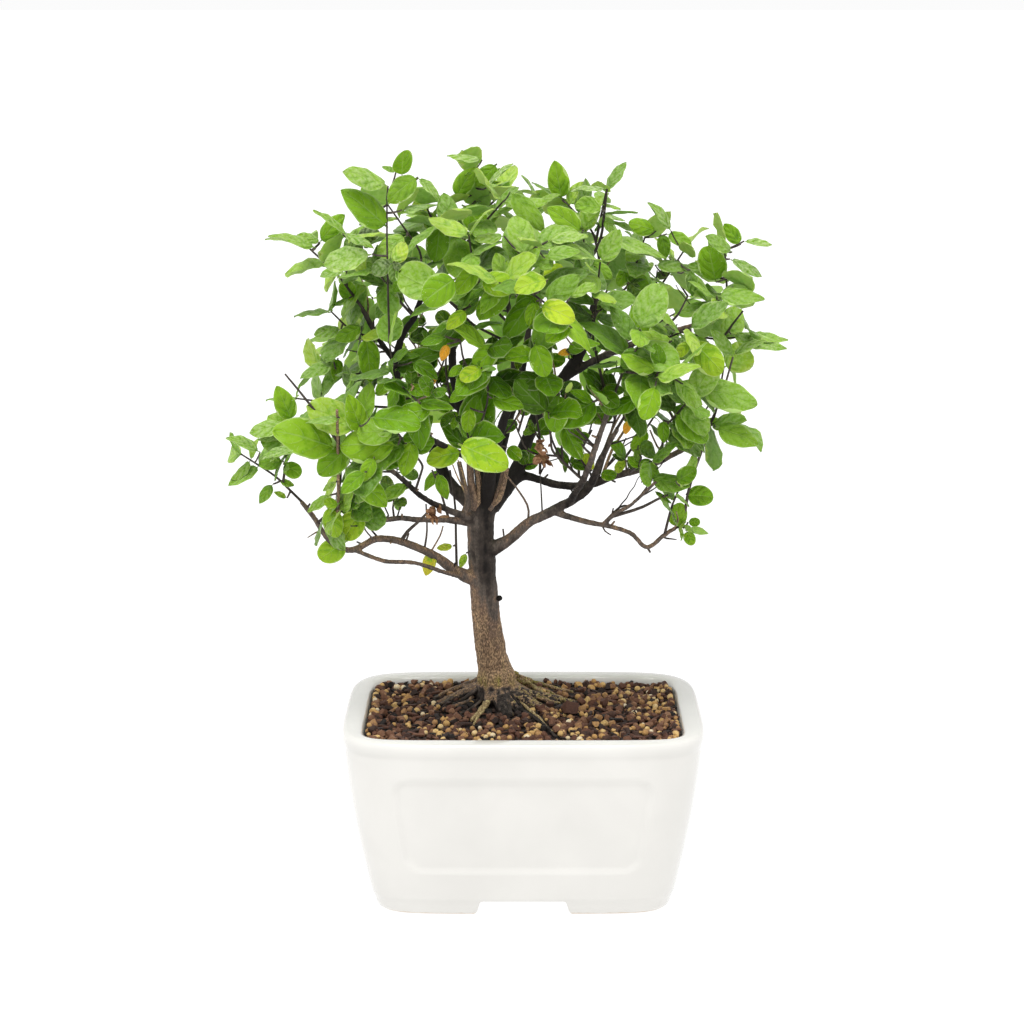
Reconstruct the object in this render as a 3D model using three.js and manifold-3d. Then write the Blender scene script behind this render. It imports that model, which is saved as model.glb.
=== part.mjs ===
// Serissa bonsai growing in a glazed rectangular pot, in millimetres, +Z up.
// X runs along the pot's length and Y from its front to its back. The model is first laid out with the
// pot's middle at X = Y = 0 and its feet at Z = 0; at the end the whole tree is moved so that the middle
// of its bounding box stands on the origin.
import * as THREE from "three";
import { mergeVertices } from "three/addons/utils/BufferGeometryUtils.js";
import Module from "manifold-3d";

const wasm = await Module();
wasm.setup();

// ---------- Driving dimensions ----------

const pot = {
  length: 150,
  depth: 114,
  height: 77,
  roundness: 5.5, // exponent of the superellipse that its plan follows
  taper: 12.6, // how far the foot lies inside the rim, on each side
  bulge: 1.45, // above 1 the walls belly outwards
  rimWidth: 9.5,
  lipHeight: 6,
  lipStep: 0.6,
  lipRounding: 1.4,
  mouthRounding: 1.2,
  footHeight: 6.5,
  footRounding: 2,
  floorTop: 12,
  floorRounding: 3,
  wallRings: [10, 24, 44], // heights at which the walls' curve is sampled
  innerRoundness: 9,
  segments: 24,
};
const footGap = { length: 36, depth: 28 };
const footRecess = { length: 84, depth: 54, cornerRadius: 6 };
const drainHole = { radius: 6, offset: 26, segments: 12 };
const panel = {
  depth: 0.7,
  bottom: 20.5,
  top: 60.5,
  longHalf: 53,
  endHalf: 36,
  lean: 6,
  side: 1, // share of the lean, in mm, that lies within the corners' height
  cornerRadius: 6,
};
const drainMesh = { side: 20, thickness: 1, holes: 2, holeSide: 7 };
const soil = { level: 73.4, mound: 2.4, moundRadius: 38, grain: 9, relief: 1.6 };
const woodSides = { trunk: 10, limb: 5, thinLimb: 4, root: 5 };
const clearance = 0.3; // air left between neighbouring solids
const grooveClearance = 0.35; // air round the roots where they lie in the soil
const blade = {
  thickness: 0.7,
  width: 0.62, // as a share of its length
  arch: 0.1, // drop of its tip, as a share of its length
  dome: 0.05, // drop of its edges, as a share of its length
  guard: 1.7, // thickness and growth of the space kept clear of other shoots
  guardGrowth: 1.07,
  outerShare: 0.7, // the part of a leaf that stays clear of its own shoot
};
const leafing = {
  tipSetback: 0.6, // from the last pair to the end of its stem
  spacing: 0.56, // between pairs, as a share of the leaf length
  firstPlace: 0.12, // how far along its stem the first pair may be
  pairTurn: 1.3, // radians between one pair and the next
  retryTurn: 0.4,
  retries: 9,
  lengthSpread: 0.15,
};
const stem = {
  baseRadius: 0.9,
  tipRadius: 0.6,
  sides: 3,
  steps: 2,
  lean: 59, // degrees between a limb and a stem on its side
  seat: 0.93, // how far out a faceted limb's sides lie, as a share of its radius
  fork: 0.35, // how far along the first stem the others leave it
  bend: 0.45, // how far along its reach a stem starts to bend to its tip
};
const canopyMiddle = new THREE.Vector3(-5, 15, 205);

// Woody parts as [x, y, z, radius] along their middles. A limb starts inside what it grows from.
const trunk = [
  [-10, 18, 66, 8.5],
  [-10, 18, 75, 10.2],
  [-11, 18, 80, 8.8],
  [-12, 18, 87, 7.7],
  [-14, 17, 98, 6.4],
  [-16, 16, 115, 5.9],
  [-17, 15, 132, 5.6],
  [-18, 14, 148, 5.7],
  [-17, 14, 163, 6.1],
  [-16, 15, 168, 4.2],
];
const limbs = {
  low_left: [
    [-19, 14, 128, 3.4], [-28, 10, 133, 2.8], [-39, 5, 142, 2.1], [-51, 0, 148, 1.9], [-61, -4, 150, 1.8],
    [-71, -8, 146, 1.7], [-80, -11, 151, 1.4], [-86, -13, 161, 1.2], [-91, -14, 168, 1.1],
  ],
  low_left_loop: [
    [-26, 9, 131, 1.3], [-35, -2, 136, 1.2], [-44, -6, 140, 1.1], [-58, -9, 142, 1.1], [-69, -8, 146, 1.1],
  ],
  mid_left: [
    [-19, 14, 153, 2.4], [-31, 6, 156, 1.6], [-43, -3, 158, 1.4], [-52, -10, 160, 1.3], [-64, -18, 160, 1.1],
  ],
  mid_left_up: [
    [-20, 12, 155, 2], [-30, 0, 161, 1.4], [-41, -12, 169, 1.2], [-50, -24, 180, 1.1], [-58, -36, 188, 0.9],
  ],
  left_leader: [
    [-18, 15, 158, 3.8], [-31, 20, 169, 2.6], [-41, 22, 189, 2.1], [-51, 20, 204, 1.8], [-53, 16, 219, 1.7],
    [-51, 12, 231, 1.5], [-45, 8, 241, 1.3], [-41, 4, 252, 1.1],
  ],
  left_upper: [[-53, 16, 221, 1.4], [-60, 11, 232, 1.2], [-66, 5, 245, 1]],
  low_right: [
    [-15, 13, 141, 3.6], [-6, 8, 147, 2.5], [2, 4, 155, 2.3], [12, 0, 161, 2.4], [20, -3, 166, 2.3],
    [27, -6, 172, 1.9], [31, -12, 183, 1.5], [34, -18, 191, 1.2], [38, -24, 200, 1],
  ],
  low_right_drop: [
    [12, 0, 161, 1.7], [25, -6, 158, 1.4], [33, -9, 157, 1.3], [44, -11, 154, 1.2], [51, -11, 148, 1.1],
    [58, -11, 153, 1], [63, -10, 156, 0.9],
  ],
  low_right_fork: [[33, -9, 157, 1.1], [38, -14, 163, 0.9], [45, -18, 168, 0.8], [54, -22, 178, 0.7]],
  mid_right: [
    [-8, 17, 168, 2.8], [0, 20, 172, 2], [7, 22, 170, 1.7], [16, 20, 168, 1.7], [27, 16, 169, 1.8],
    [39, 10, 174, 1.6], [49, 4, 178, 1.5], [57, -4, 183, 1.3], [69, -12, 191, 1.1],
  ],
  right_leader: [
    [-14, 15, 160, 4.6], [-3, 20, 174, 3.2], [1, 24, 185, 2.8], [7, 26, 199, 2.7], [17, 26, 213, 2.6],
    [24, 24, 224, 2.2], [28, 20, 236, 1.8], [30, 16, 249, 1.5], [32, 12, 261, 1.2],
  ],
  right_upper: [
    [17, 26, 213, 1.9], [32, 22, 222, 1.6], [48, 14, 230, 1.3], [64, 6, 236, 1.1], [76, 0, 241, 1],
  ],
  crown: [
    [-16, 16, 160, 4], [-19, 26, 180, 2.7], [-26, 32, 198, 2.2], [-30, 34, 217, 1.8], [-28, 32, 237, 1.5],
    [-22, 28, 256, 1.2], [-20, 24, 271, 1],
  ],
  back: [
    [-15, 17, 160, 3.6], [-10, 34, 179, 2.4], [-5, 48, 196, 2], [0, 56, 214, 1.6], [3, 58, 236, 1.3],
    [2, 54, 256, 1],
  ],
  back_left: [[-26, 32, 198, 1.6], [-42, 46, 208, 1.2], [-58, 56, 220, 0.9]],
  back_right: [[-5, 48, 196, 1.6], [12, 58, 206, 1.3], [32, 63, 216, 1.1], [48, 60, 226, 0.9]],
  front: [
    [-16, 13, 160, 3.6], [-13, -4, 181, 2.3], [-9, -18, 198, 1.9], [-4, -30, 217, 1.6], [-4, -38, 236, 1.3],
    [-6, -42, 254, 1],
  ],
  front_left: [[-13, -4, 181, 1.7], [-28, -20, 190, 1.4], [-44, -36, 203, 1.1], [-50, -42, 218, 0.9]],
  front_right: [[19, -3, 165, 1.6], [25, -22, 180, 1.4], [30, -38, 198, 1.2], [36, -48, 218, 1]],
};
const roots = [
  [[-9, 18, 80, 4], [2, 17, 77, 2.6], [12, 19, 75, 1.7], [23, 20, 72.5, 1.1]],
  [[-8, 15, 79, 4], [2, 10, 76, 2.4], [12, 5, 73, 1.2]],
  [[-9, 14, 78, 3], [-2, 2, 75.6, 1.2], [5, -10, 75, 1], [10, -22, 74.6, 0.9], [14, -33, 72.8, 0.8]],
  [[-13, 14, 79, 3.4], [-16, 4, 76.6, 1.8], [-19, -8, 75.2, 1.4], [-22, -19, 72.6, 1.1]],
  [[-15, 20, 79, 4], [-27, 20, 76, 2.3], [-39, 14, 73, 1.1]],
  [[-10, 13, 79, 4.4], [-9, 3, 76, 2.6], [-6, -6, 73, 1.2]],
  [[-14, 22, 79, 4], [-23, 33, 75.6, 2.2], [-30, 41, 73, 1.1]],
  [[-8, 22, 79, 4], [-4, 34, 75.6, 2.2], [3, 42, 73, 1.1]],
];

// Leafy shoots as [limb, how far along it, leaf pairs on each stem, leaf length, tip of each stem ...].
// A second stem forks from the first.
const shoots = [
  ["low_left", 1, 2, 14, [-115, -16, 188], [-94, -24, 199]],
  ["low_left", 0.76, 2, 24, [-74, -32, 208]],
  ["low_left", 0.84, 2, 17, [-73, -30, 167]],
  ["mid_left_up", 1, 2, 22, [-65, -48, 205]],
  ["mid_left_up", 0.6, 2, 18, [-50, -56, 205]],
  ["mid_left", 1, 2, 17, [-68, -31, 178]],
  ["left_leader", 0.45, 1, 19, [-70, -14, 213]],
  ["left_leader", 0.5, 3, 19, [-84, 8, 220]],
  ["left_leader", 0.4, 2, 18, [-96, 22, 205]],
  ["left_upper", 0.5, 2, 19, [-79, 4, 244]],
  ["left_upper", 1, 2, 20, [-89, 0, 272], [-70, -14, 276]],
  ["left_leader", 1, 3, 21, [-55, 0, 288]],
  ["left_leader", 0.86, 2, 18, [-59, -24, 265]],
  ["crown", 0.86, 2, 20, [-40, 10, 287]],
  ["crown", 1, 2, 20, [-21, 20, 300], [-8, 28, 291]],
  ["crown", 0.92, 2, 21, [-31, -12, 282], [-8, -10, 290]],
  ["back", 1, 2, 20, [4, 40, 285]],
  ["right_leader", 1, 2, 17, [15, 22, 290], [34, 8, 293]],
  ["right_leader", 0.9, 2, 19, [24, -18, 279]],
  ["right_leader", 0.8, 2, 18, [50, 8, 274]],
  ["right_upper", 0.5, 2, 18, [66, 10, 268]],
  ["right_upper", 1, 2, 18, [82, -2, 270], [78, -16, 251]],
  ["right_upper", 0.75, 2, 21, [94, 2, 234]],
  ["mid_right", 1, 2, 19, [82, -8, 223], [85, -10, 201]],
  ["mid_right", 0.88, 2, 20, [67, -34, 214]],
  ["low_right_drop", 1, 1, 9, [69, -8, 155]],
  ["low_right_drop", 0.85, 2, 13, [65, -20, 178]],
  ["mid_right", 0.7, 1, 16, [52, -22, 186]],
  ["mid_right", 0.55, 2, 20, [57, -20, 231]],
  ["low_right", 1, 2, 19, [46, -48, 217], [29, -52, 216]],
  ["front_right", 1, 2, 21, [45, -62, 245], [58, -58, 226]],
  ["front", 1, 2, 20, [13, -72, 253], [-9, -72, 264]],
  ["front", 0.8, 2, 20, [-32, -66, 260]],
  ["front_right", 0.6, 2, 18, [6, -68, 237]],
  ["front", 0.55, 2, 19, [-14, -66, 238]],
  ["front_left", 0.3, 2, 22, [-21, -58, 201]],
  ["front_left", 1, 2, 19, [-40, -66, 217], [-52, -52, 238]],
  ["front_right", 0.3, 2, 19, [10, -58, 212]],
  ["front_right", 0.9, 2, 19, [30, -48, 270]],
  ["right_upper", 0.3, 2, 20, [66, -38, 242]],
  ["front", 0.9, 2, 20, [-21, -48, 280], [5, -52, 276]],
  ["back_left", 1, 2, 19, [-80, 62, 226], [-66, 72, 242]],
  ["back_left", 0.6, 1, 18, [-52, 74, 206]],
  ["back_right", 1, 2, 19, [66, 62, 236], [54, 74, 248]],
  ["back_right", 0.6, 2, 19, [30, 88, 214]],
  ["back_right", 0.3, 1, 18, [20, 70, 186]],
  ["back", 0.8, 2, 20, [-14, 86, 252], [18, 84, 258]],
  ["back", 0.6, 2, 19, [-10, 92, 222]],
  ["back", 0.4, 1, 18, [-30, 76, 190]],
  ["crown", 0.7, 2, 20, [-56, 52, 256]],
  ["crown", 0.8, 2, 20, [-36, 62, 276]],
  ["right_leader", 0.7, 2, 20, [42, 46, 262], [22, 54, 276]],
  ["right_upper", 0.6, 1, 18, [70, 40, 246]],
  ["mid_right", 0.6, 2, 18, [62, 36, 204]],
  ["left_leader", 0.34, 1, 18, [-72, 44, 194]],
];

// ---------- Solids ----------

function solidOf(geometry) {
  geometry.deleteAttribute("normal");
  geometry.deleteAttribute("uv");
  const merged = mergeVertices(geometry, 1e-3);
  const mesh = new wasm.Mesh({
    numProp: 3,
    vertProperties: merged.attributes.position.array,
    triVerts: new Uint32Array(merged.index.array),
  });
  return new wasm.Manifold(mesh);
}

function meshOf(name, solid, material) {
  const { numProp, vertProperties, triVerts } = solid.getMesh();
  const corners = new Float32Array((vertProperties.length / numProp) * 3);
  for (let i = 0; i < corners.length / 3; i++) {
    corners.set(vertProperties.subarray(i * numProp, i * numProp + 3), i * 3);
  }
  const geometry = new THREE.BufferGeometry();
  geometry.setAttribute("position", new THREE.BufferAttribute(corners, 3));
  geometry.setIndex(new THREE.BufferAttribute(new Uint32Array(triVerts), 1));
  geometry.computeVertexNormals();
  const mesh = new THREE.Mesh(geometry, material);
  mesh.name = name;
  return mesh;
}

function boxSolid([x0, y0, z0], [x1, y1, z1]) {
  const geometry = new THREE.BoxGeometry(x1 - x0, y1 - y0, z1 - z0);
  geometry.translate((x0 + x1) / 2, (y0 + y1) / 2, (z0 + z1) / 2);
  return solidOf(geometry);
}

// Numbers from 0 to 1 that are the same on every run.
function drawsFrom(seed) {
  let state = (seed * 7919 + 12347) % 2147483647;
  const draw = () => {
    state = (state * 48271) % 2147483647;
    return state / 2147483647;
  };
  draw();
  draw();
  return draw;
}

// ---------- Pot ----------

function potInset(z) {
  return pot.taper * (1 - z / pot.height) ** pot.bulge;
}

// A point of a superellipse with the given half sizes, at one angle of its sweep.
function superellipse(halfX, halfY, exponent, angle) {
  const flatten = (value) => {
    const size = Math.abs(value);
    return size < 1e-6 ? 0 : Math.sign(value) * size ** (2 / exponent);
  };
  return [halfX * flatten(Math.cos(angle)), halfY * flatten(Math.sin(angle))];
}

// A closed body of superellipse sections, each given as [height, how far inside the pot's rim it lies].
function sectionBody(sections, exponent) {
  const rows = sections.length - 1;
  const geometry = new THREE.CylinderGeometry(1, 1, 1, pot.segments, rows);
  const at = geometry.attributes.position;
  for (let i = 0; i < at.count; i++) {
    const [z, inset] = sections[Math.round((at.getY(i) + 0.5) * rows)];
    const onAxis = Math.hypot(at.getX(i), at.getZ(i)) < 0.5;
    const angle = Math.atan2(-at.getZ(i), at.getX(i));
    const halfX = onAxis ? 0 : pot.length / 2 - inset;
    const halfY = onAxis ? 0 : pot.depth / 2 - inset;
    const [x, y] = superellipse(halfX, halfY, exponent, angle);
    at.setXYZ(i, x, y, z);
  }
  return solidOf(geometry);
}

function outerBody(shrink) {
  const lipBottom = pot.height - pot.lipHeight;
  const wallTop = lipBottom - 2 * pot.lipStep;
  const wallHeights = [1.5 * pot.footRounding, ...pot.wallRings, wallTop];
  return sectionBody(
    [
      [0, potInset(0) + pot.footRounding + shrink],
      ...wallHeights.map((z) => [z, potInset(z) + pot.lipStep + shrink]),
      [lipBottom, potInset(lipBottom) + shrink],
      [pot.height - pot.lipRounding, shrink],
      [pot.height, pot.lipRounding + shrink],
    ],
    pot.roundness,
  );
}

// The room inside the pot, or with a gap the body of soil that fits in it.
function cavityBody(gap) {
  const { floorTop, floorRounding, rimWidth } = pot;
  const wallHeights = [floorTop + 1.5 * floorRounding, pot.wallRings.at(-1), pot.height - pot.lipRounding];
  return sectionBody(
    [
      [floorTop + gap, potInset(floorTop) + rimWidth + floorRounding + gap],
      ...wallHeights.map((z) => [z, potInset(z) + rimWidth + gap]),
      [pot.height + 1, rimWidth - pot.mouthRounding + gap],
    ],
    pot.innerRoundness,
  );
}

// A rounded plate in a wall's plane that narrows by its lean towards the bottom, driven through the pot.
function panelPrism(halfTop, reach) {
  const r = panel.cornerRadius;
  const halfBottom = halfTop - panel.lean;
  const shape = new THREE.Shape();
  shape.moveTo(-halfBottom + r, panel.bottom);
  shape.lineTo(halfBottom - r, panel.bottom);
  shape.quadraticCurveTo(halfBottom, panel.bottom, halfBottom + panel.side, panel.bottom + r);
  shape.lineTo(halfTop - panel.side, panel.top - r);
  shape.quadraticCurveTo(halfTop, panel.top, halfTop - r, panel.top);
  shape.lineTo(-halfTop + r, panel.top);
  shape.quadraticCurveTo(-halfTop, panel.top, -halfTop + panel.side, panel.top - r);
  shape.lineTo(-halfBottom - panel.side, panel.bottom + r);
  shape.quadraticCurveTo(-halfBottom, panel.bottom, -halfBottom + r, panel.bottom);
  const settings = { depth: 2 * reach, bevelEnabled: false, curveSegments: 1 };
  const geometry = new THREE.ExtrudeGeometry(shape, settings);
  geometry.translate(0, 0, -reach);
  geometry.rotateX(Math.PI / 2);
  return geometry;
}

function roundedPlate({ length, depth, cornerRadius }, bottom, top) {
  const shape = new THREE.Shape();
  const [x, y, r] = [length / 2, depth / 2, cornerRadius];
  shape.moveTo(-x + r, -y);
  shape.lineTo(x - r, -y);
  shape.quadraticCurveTo(x, -y, x, -y + r);
  shape.lineTo(x, y - r);
  shape.quadraticCurveTo(x, y, x - r, y);
  shape.lineTo(-x + r, y);
  shape.quadraticCurveTo(-x, y, -x, y - r);
  shape.lineTo(-x, -y + r);
  shape.quadraticCurveTo(-x, -y, -x + r, -y);
  const settings = { depth: top - bottom, bevelEnabled: false, curveSegments: 3 };
  const geometry = new THREE.ExtrudeGeometry(shape, settings);
  geometry.translate(0, 0, bottom);
  return solidOf(geometry);
}

function drainPlug(x) {
  const { radius, segments } = drainHole;
  const geometry = new THREE.CylinderGeometry(radius, radius, 2 * pot.floorTop + 2, segments);
  geometry.rotateX(Math.PI / 2);
  geometry.translate(x, 0, pot.floorTop);
  return solidOf(geometry);
}

function buildPot() {
  const reach = pot.length;
  const longPanels = solidOf(panelPrism(panel.longHalf, reach));
  const endPanels = solidOf(panelPrism(panel.endHalf, reach).rotateZ(Math.PI / 2));
  const recess = longPanels.add(endPanels).subtract(outerBody(panel.depth));
  return outerBody(0)
    .subtract(recess)
    .subtract(cavityBody(0))
    .subtract(boxSolid([-footGap.length / 2, -reach, -1], [footGap.length / 2, reach, pot.footHeight]))
    .subtract(boxSolid([-reach, -footGap.depth / 2, -1], [reach, footGap.depth / 2, pot.footHeight]))
    .subtract(roundedPlate(footRecess, -1, pot.footHeight))
    .subtract(drainPlug(-drainHole.offset))
    .subtract(drainPlug(drainHole.offset));
}

// A square of plastic netting over one drain hole.
function buildDrainMesh(x) {
  const half = drainMesh.side / 2;
  const bottom = pot.floorTop + clearance;
  const top = bottom + drainMesh.thickness;
  let net = boxSolid([x - half, -half, bottom], [x + half, half, top]);
  const pitch = drainMesh.side / drainMesh.holes;
  const reach = drainMesh.holeSide / 2;
  for (let i = 0; i < drainMesh.holes; i++) {
    for (let j = 0; j < drainMesh.holes; j++) {
      const holeX = x - half + (i + 0.5) * pitch;
      const holeY = -half + (j + 0.5) * pitch;
      const low = [holeX - reach, holeY - reach, bottom - 1];
      const high = [holeX + reach, holeY + reach, top + 1];
      net = net.subtract(boxSolid(low, high));
    }
  }
  return net;
}

// ---------- Wood ----------

// A curve through woody points, with its radius interpolated between them.
function woodCurve(points) {
  const middles = points.map(([x, y, z]) => new THREE.Vector3(x, y, z));
  const curve = new THREE.CatmullRomCurve3(middles, false, "catmullrom", 0.5);
  const radiusAt = (t) => {
    const place = t * (points.length - 1);
    const first = Math.min(Math.floor(place), points.length - 2);
    return THREE.MathUtils.lerp(points[first][3], points[first + 1][3], place - first);
  };
  return { curve, radiusAt };
}

function directionAt(curve, t) {
  const step = 0.01;
  const ahead = curve.getPoint(Math.min(t + step, 1));
  return ahead.sub(curve.getPoint(Math.max(t - step, 0))).normalize();
}

// A closed rod along a curve. Each ring is turned from the last only as far as the curve bends.
// Swelling makes it wider and pushes out its ends, to cut a groove that clears it.
function rod(curve, radiusAt, sides, steps, swell = 0) {
  const rings = [];
  let side = null;
  for (let i = 0; i <= steps; i++) {
    const along = directionAt(curve, i / steps);
    side = side ?? new THREE.Vector3(0, 1, 0).cross(along);
    side = side.addScaledVector(along, -side.dot(along)).normalize();
    const point = curve.getPoint(i / steps);
    const endPush = i === 0 ? -swell : i === steps ? swell : 0;
    point.addScaledVector(along, endPush);
    const up = along.clone().cross(side);
    rings.push({ point, side: side.clone(), up, radius: radiusAt(i / steps) + swell });
  }
  const geometry = new THREE.CylinderGeometry(1, 1, 1, sides, steps);
  const at = geometry.attributes.position;
  for (let i = 0; i < at.count; i++) {
    const ring = rings[Math.round((0.5 - at.getY(i)) * steps)];
    const corner = ring.point.clone();
    corner.addScaledVector(ring.side, at.getX(i) * ring.radius);
    corner.addScaledVector(ring.up, at.getZ(i) * ring.radius);
    at.setXYZ(i, corner.x, corner.y, corner.z);
  }
  return solidOf(geometry);
}

// The middle of a rod, which is straight between its rings.
function rodPoint(curve, t, steps) {
  const place = t * steps;
  const first = Math.min(Math.floor(place), steps - 1);
  const next = curve.getPoint((first + 1) / steps);
  return curve.getPoint(first / steps).lerp(next, place - first);
}

function woodRod(points, sides, swell) {
  const { curve, radiusAt } = woodCurve(points);
  return rod(curve, radiusAt, sides, points.length - 1, swell);
}

function buildTree() {
  const pieces = [woodRod(trunk, woodSides.trunk)];
  for (const points of Object.values(limbs)) {
    const isThick = points[0][3] > 2;
    pieces.push(woodRod(points, isThick ? woodSides.limb : woodSides.thinLimb));
  }
  for (const points of roots) {
    pieces.push(woodRod(points, woodSides.root));
  }
  return wasm.Manifold.union(pieces);
}

// ---------- Soil ----------

// Heights of the loose grains: higher round the trunk, with every grain a little up or down.
function soilHeight(x, y) {
  const fromTrunk = Math.hypot(x - trunk[1][0], y - trunk[1][1]);
  const mound = soil.mound * Math.exp(-((fromTrunk / soil.moundRadius) ** 2));
  const column = Math.round(x / soil.grain);
  const row = Math.round(y / soil.grain);
  const draw = drawsFrom(5000 + column * 97 + row);
  return soil.level + mound + (draw() - 0.5) * soil.relief;
}

function buildSoil() {
  const columns = Math.ceil(pot.length / soil.grain / 2) * 2;
  const rows = Math.ceil(pot.depth / soil.grain / 2) * 2;
  const height = 80;
  const field = new THREE.BoxGeometry(columns * soil.grain, rows * soil.grain, height, columns, rows, 1);
  const at = field.attributes.position;
  for (let i = 0; i < at.count; i++) {
    const isTop = at.getZ(i) > 0;
    at.setZ(i, isTop ? soilHeight(at.getX(i), at.getY(i)) : -height);
  }
  let body = cavityBody(clearance).intersect(solidOf(field));
  body = body.subtract(woodRod(trunk, woodSides.trunk, grooveClearance));
  for (const points of roots) {
    body = body.subtract(woodRod(points, woodSides.root, grooveClearance));
  }
  const half = drainMesh.side / 2 + clearance;
  for (const x of [-drainHole.offset, drainHole.offset]) {
    const top = pot.floorTop + 2 * clearance + drainMesh.thickness;
    body = body.subtract(boxSolid([x - half, -half, 0], [x + half, half, top]));
  }
  return body;
}

// ---------- Leafy shoots ----------

// Where a shoot leaves its limb: at its end, or from its side at the stem's lean.
function shootStart(limb, at, tip) {
  const { curve, radiusAt } = woodCurve(limbs[limb]);
  const along = directionAt(curve, at);
  const middle = rodPoint(curve, at, limbs[limb].length - 1);
  if (at === 1) {
    return { start: middle.addScaledVector(along, clearance), heading: along };
  }
  const lean = THREE.MathUtils.degToRad(stem.lean);
  const toTip = tip.clone().sub(middle);
  const forwards = Math.sign(toTip.dot(along)) || 1;
  const outwards = toTip.addScaledVector(along, -toTip.dot(along)).normalize();
  const heading = outwards.multiplyScalar(Math.sin(lean));
  heading.addScaledVector(along, forwards * Math.cos(lean));
  const footReach = stem.baseRadius * Math.cos(lean);
  const distance = (radiusAt(at) * stem.seat + clearance + footReach) / Math.sin(lean);
  return { start: middle.addScaledVector(heading, distance), heading };
}

function stemCurve(start, heading, tip) {
  const reach = start.distanceTo(tip);
  const bend = start.clone().addScaledVector(heading, stem.bend * reach);
  return new THREE.QuadraticBezierCurve3(start, bend, tip);
}

function stemRadius(t) {
  return THREE.MathUtils.lerp(stem.baseRadius, stem.tipRadius, t);
}

// A shoot's stems: the first grows from the limb, the others fork from it.
function shootStems([limb, at, pairs, leafLength, ...tips]) {
  const [firstTip, ...otherTips] = tips.map((tip) => new THREE.Vector3(...tip));
  const { start, heading } = shootStart(limb, at, firstTip);
  const curves = [stemCurve(start, heading, firstTip)];
  for (const tip of otherTips) {
    const fork = rodPoint(curves[0], stem.fork, stem.steps);
    curves.push(stemCurve(fork, tip.clone().sub(fork).normalize(), tip));
  }
  return curves.map((curve) => ({ curve, pairs, leafLength }));
}

// A blade's outline from its base round its tip, as shares of its length and of half its width.
const bladeOutline = [[0, 0], [0.27, 0.95], [0.68, 0.86], [1, 0], [0.68, -0.86], [0.27, -0.95]];

// How far a blade bends down towards its tip and its edges, as a share of its length.
function bladeDroop(u, v) {
  return blade.arch * u ** 2 + blade.dome * Math.abs(v);
}

// A blade from its base point, with its direction, the normal of its upper face, and its length.
// Growth makes it longer and wider about its middle.
function bladeSolid({ base, along, normal, length }, thickness, growth = 1) {
  const across = normal.clone().cross(along);
  const shape = new THREE.Shape(bladeOutline.map(([u, v]) => new THREE.Vector2(u, v)));
  const geometry = new THREE.ExtrudeGeometry(shape, { depth: 1, bevelEnabled: false });
  const at = geometry.attributes.position;
  for (let i = 0; i < at.count; i++) {
    const [u, v] = [at.getX(i), at.getY(i)];
    const depth = u === 0 && growth === 1 ? thickness / 3 : thickness;
    const corner = base.clone();
    corner.addScaledVector(along, (0.5 + (u - 0.5) * growth) * length);
    corner.addScaledVector(across, v * growth * blade.width * 0.5 * length);
    corner.addScaledVector(normal, (at.getZ(i) - 0.5) * depth - bladeDroop(u, v) * length);
    at.setXYZ(i, corner.x, corner.y, corner.z);
  }
  return solidOf(geometry);
}

// How the leaf on one side of one pair is held: pairs turn about the stem, and faces look up and outwards.
function leafPose({ curve, leafLength, turn }, pair, sign, attempt, seed) {
  const draw = drawsFrom(seed * 10 + attempt);
  const spread = (share) => (draw() - 0.5) * 2 * share;
  const stemLength = curve.getLength();
  const setback = leafing.tipSetback + pair * leafLength * leafing.spacing;
  const t = Math.max(1 - setback / stemLength, leafing.firstPlace);
  const base = rodPoint(curve, t, stem.steps);
  const stemWay = directionAt(curve, t);
  const up = new THREE.Vector3(0, 0, 1);
  const sideways = stemWay.clone().cross(up).normalize();
  const pairTurn = (pair % 2) * leafing.pairTurn + spread(0.3) + attempt * leafing.retryTurn;
  sideways.applyAxisAngle(stemWay, turn + pairTurn);
  const forwards = pair > 0 ? 0.4 : sign < 0 ? 1.5 : 0.6;
  const along = sideways.multiplyScalar(sign).addScaledVector(stemWay, forwards + spread(0.2));
  along.z += spread(0.3) - 0.1;
  along.normalize();
  const outwards = base.clone().sub(canopyMiddle).normalize();
  const normal = up.multiplyScalar(0.5).addScaledVector(outwards, 0.8);
  normal.add(new THREE.Vector3(spread(0.4), spread(0.4), spread(0.2)));
  normal.addScaledVector(along, -normal.dot(along)).normalize();
  const youth = pair === 0 ? 0.9 : 1;
  const shrink = attempt > 5 ? 0.8 : 1;
  const length = leafLength * (1 + spread(leafing.lengthSpread)) * youth * shrink;
  return { base, along, normal, length };
}

// The part of a blade that starts clear of its own stem.
function outerPose(pose) {
  const base = pose.base.clone().addScaledVector(pose.along, (1 - blade.outerShare) * pose.length);
  return { ...pose, base, length: blade.outerShare * pose.length };
}

function boxesApart(a, b) {
  return [0, 1, 2].some((i) => a.max[i] < b.min[i] || b.max[i] < a.min[i]);
}

function isClear(guard, others) {
  const guardBox = guard.boundingBox();
  return others.every(({ solid, box }) => boxesApart(guardBox, box) || guard.intersect(solid).isEmpty());
}

// A leaf where its outer part clears its own shoot and all of it clears everything else, or nothing.
function leafSolid(made, pair, sign, seed, placed) {
  const siblings = placed.filter(({ shoot }) => shoot === made.shoot);
  const others = placed.filter(({ shoot }) => shoot !== made.shoot);
  for (let attempt = 0; attempt < leafing.retries; attempt++) {
    const pose = leafPose(made, pair, sign, attempt, seed);
    const outerPart = bladeSolid(outerPose(pose), blade.thickness + 0.2);
    const guard = bladeSolid(pose, blade.guard, blade.guardGrowth);
    if (isClear(outerPart, siblings) && isClear(guard, others)) {
      return bladeSolid(pose, blade.thickness);
    }
  }
  return null;
}

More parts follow.
